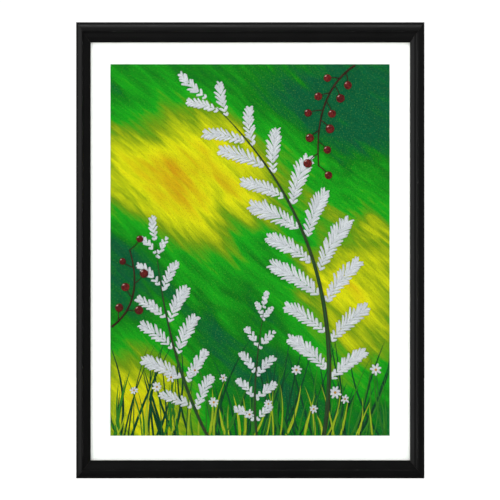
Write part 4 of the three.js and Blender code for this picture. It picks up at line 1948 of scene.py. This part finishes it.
@dataclass
class VeeNails:
    """Steel nails that hold the mitres together, seen edge on in the back of the frame."""

    half_span: float = 4.2 * MM
    depth: float = 2.4 * MM
    thickness: float = 0.8 * MM
    place_share: float = 0.36
    proud: float = 0.12 * MM
    edge_radius: float = 0.1 * MM
    steel: Finish = field(default_factory=lambda: PlatedMetal("bright_nail_steel", base=(0.50, 0.50, 0.51)))

    def build(self) -> None:
        """Builds one nail across each mitre."""
        rise = self.thickness / 2
        upper = [(x, self.depth - rise if x else -rise) for x in (-self.half_span, 0.0, self.half_span)]
        outline = upper + [(x, z + self.thickness) for x, z in reversed(upper)]
        for corner, mitre in Moulding().mitres().items():
            low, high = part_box(f"vee_nail_{corner}")
            bm = bmesh.new()
            bm.faces.new([bm.verts.new((x, low.y, z)) for x, z in outline])
            thicken(bm, (0.0, high.y + self.proud - low.y, 0.0))
            bevel(bm, sharp_convex(bm, STEEP_ANGLE), self.edge_radius, 2)
            out = mitre.outer - mitre.inner
            turn = Matrix.Rotation(math.atan2(out.x, out.z), 4, "Y")
            bm.transform(Matrix.Translation(mitre.outer.lerp(mitre.inner, self.place_share)) @ turn)
            obj = mesh_object(f"steel_vee_nail_{corner}", bm, (self.steel,))
            install(obj, "zinc_steel", f"vee_nail_{corner}", weighted=True)


# The studio


@dataclass
class Studio:
    """A white room with broad lights from the left, from above and from behind."""

    image_width_px: float = 500.0
    metres_per_px: float = 1.4268 * MM
    object_centre_px: Pair = (250.3, 250.3)
    outline_depth: float = 7.0 * MM
    distance: float = 3.6
    sensor: float = 36.0
    sight: float = 50.0
    floor_gap: float = 60.0 * MM
    floor_width: float = 5.0
    floor_front: float = 0.40
    floor_back: float = 4.0
    white: float = 1.06
    # The room's light on surfaces and in mirrored looks: in front, behind, and the Y of the
    # direction where it turns from the one to the other.
    front_fill: float = 1.5
    back_fill: float = 0.95
    fill_turns: Pair = (-0.4, 0.4)
    dark_side: float = 0.06
    bright_side: float = 0.9
    side_turns: Pair = (0.55, 0.95)
    left_light: RGB = (-0.71, -0.68, 0.19)
    left_power: float = 0.75
    left_spread: float = math.radians(64)
    back_light: RGB = (0.25, 0.90, 0.36)
    back_power: float = 1.1
    back_spread: float = math.radians(40)
    strip_size: Pair = (1.1, 0.16)
    strip_offset: RGB = (-0.05, -0.38, 0.40)
    strip_spread: float = math.radians(44)
    strip_power: float = 0.116

    def build(self) -> None:
        """Builds the camera, the lights, the world and the floor."""
        self._camera()
        self._light("left_light", "SUN", self.left_light, self.left_power, angle=self.left_spread)
        self._light("back_light", "SUN", self.back_light, self.back_power, angle=self.back_spread)
        strip = self._light(
            "strip_light", "AREA", self.strip_offset, self.strip_power, shape="RECTANGLE",
            size=self.strip_size[0], size_y=self.strip_size[1], spread=self.strip_spread,
        )
        low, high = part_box("rail_top")
        strip.location = Vector(((low.x + high.x) / 2, low.y, high.z)) + Vector(self.strip_offset)
        self._world()
        self._floor()
        bpy.context.scene.view_settings.view_transform = "Standard"
        bpy.context.scene.view_settings.look = "None"

    def _camera(self) -> None:
        """Places the camera square to the front, so that a pixel of the photograph has its real size."""
        left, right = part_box("stile_left")[0].x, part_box("stile_right")[1].x
        top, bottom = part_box("rail_top")[1].z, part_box("rail_bottom")[0].z
        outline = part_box("rail_top")[0].y + self.outline_depth
        half = self.image_width_px / 2
        shift_x = (half - self.object_centre_px[0]) * self.metres_per_px
        shift_z = (self.object_centre_px[1] - half) * self.metres_per_px
        data = bpy.data.cameras.new("camera")
        data.sensor_width = self.sensor
        data.sensor_fit = "HORIZONTAL"
        data.lens = self.sensor * self.distance / (self.image_width_px * self.metres_per_px)
        data.clip_end = self.sight
        obj = bpy.data.objects.new("camera", data)
        obj.location = ((left + right) / 2 + shift_x, outline - self.distance, (top + bottom) / 2 + shift_z)
        obj.rotation_euler = (math.pi / 2, 0.0, 0.0)
        bpy.context.scene.collection.objects.link(obj)
        bpy.context.scene.camera = obj

    @staticmethod
    def _light(name: str, kind: str, towards: RGB, power: float, **settings: Any) -> Object:
        """Adds a light.

        Args:
            name: the light's name.
            kind: SUN or AREA.
            towards: the direction from the part to the light.
            power: its strength.
            **settings: its other settings.

        Returns:
            The light's object.
        """
        data = bpy.data.lights.new(name, kind)
        data.energy = power
        for setting, value in settings.items():
            setattr(data, setting, value)
        obj = bpy.data.objects.new(name, data)
        obj.rotation_euler = Vector(towards).to_track_quat("Z", "Y").to_euler()
        bpy.context.scene.collection.objects.link(obj)
        return obj

    def _world(self) -> None:
        """Makes the room: white to the camera, even on surfaces, and dark where the front looks."""
        world = bpy.data.worlds.new("studio")
        world.use_nodes = True
        world.node_tree.nodes.clear()
        graph = Graph(world.node_tree)
        ray = graph.node("LightPath").outputs
        way = graph.node("SeparateXYZ", {0: graph.node("TexCoord").outputs["Generated"]}).outputs[1]
        fill = graph.remap(way, *self.fill_turns, self.front_fill, self.back_fill)
        mirrored = graph.remap(way, *self.side_turns, self.dark_side, self.bright_side)
        light, shine, white = (
            graph.node("Background", {"Color": (1.0, 1.0, 1.0), "Strength": strength}).outputs[0]
            for strength in (fill, mirrored, self.white)
        )
        lit = graph.node("MixShader", {0: ray["Is Glossy Ray"], 1: light, 2: shine}).outputs[0]
        seen = graph.node("MixShader", {0: ray["Is Camera Ray"], 1: lit, 2: white}).outputs[0]
        graph.feed(graph.node("OutputWorld").inputs["Surface"], seen)
        bpy.context.scene.world = world

    def _floor(self) -> None:
        """Lays a pale floor a little below the part."""
        bm = bmesh.new()
        verts = bmesh.ops.create_grid(bm, x_segments=2, y_segments=2, size=0.5)["verts"]
        bmesh.ops.scale(bm, verts=verts, vec=(self.floor_width, self.floor_front + self.floor_back, 1.0))
        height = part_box("rail_bottom")[0].z - self.floor_gap
        bmesh.ops.translate(bm, verts=verts, vec=(0.0, (self.floor_back - self.floor_front) / 2, height))
        mesh_object("floor", bm, (PaleFloor("pale_floor"),))


def main() -> None:
    """Builds every sub-assembly, then the studio."""
    logging.basicConfig(level=logging.INFO, format="%(name)s: %(message)s")
    assemblies = (
        Moulding(), Sheets(), PaintedDesign(), TurnButtons(), WallHanger(), Bumpers(), VeeNails(), Studio(),
    )
    for assembly in assemblies:
        assembly.build()


if __name__ == "__main__":
    main()
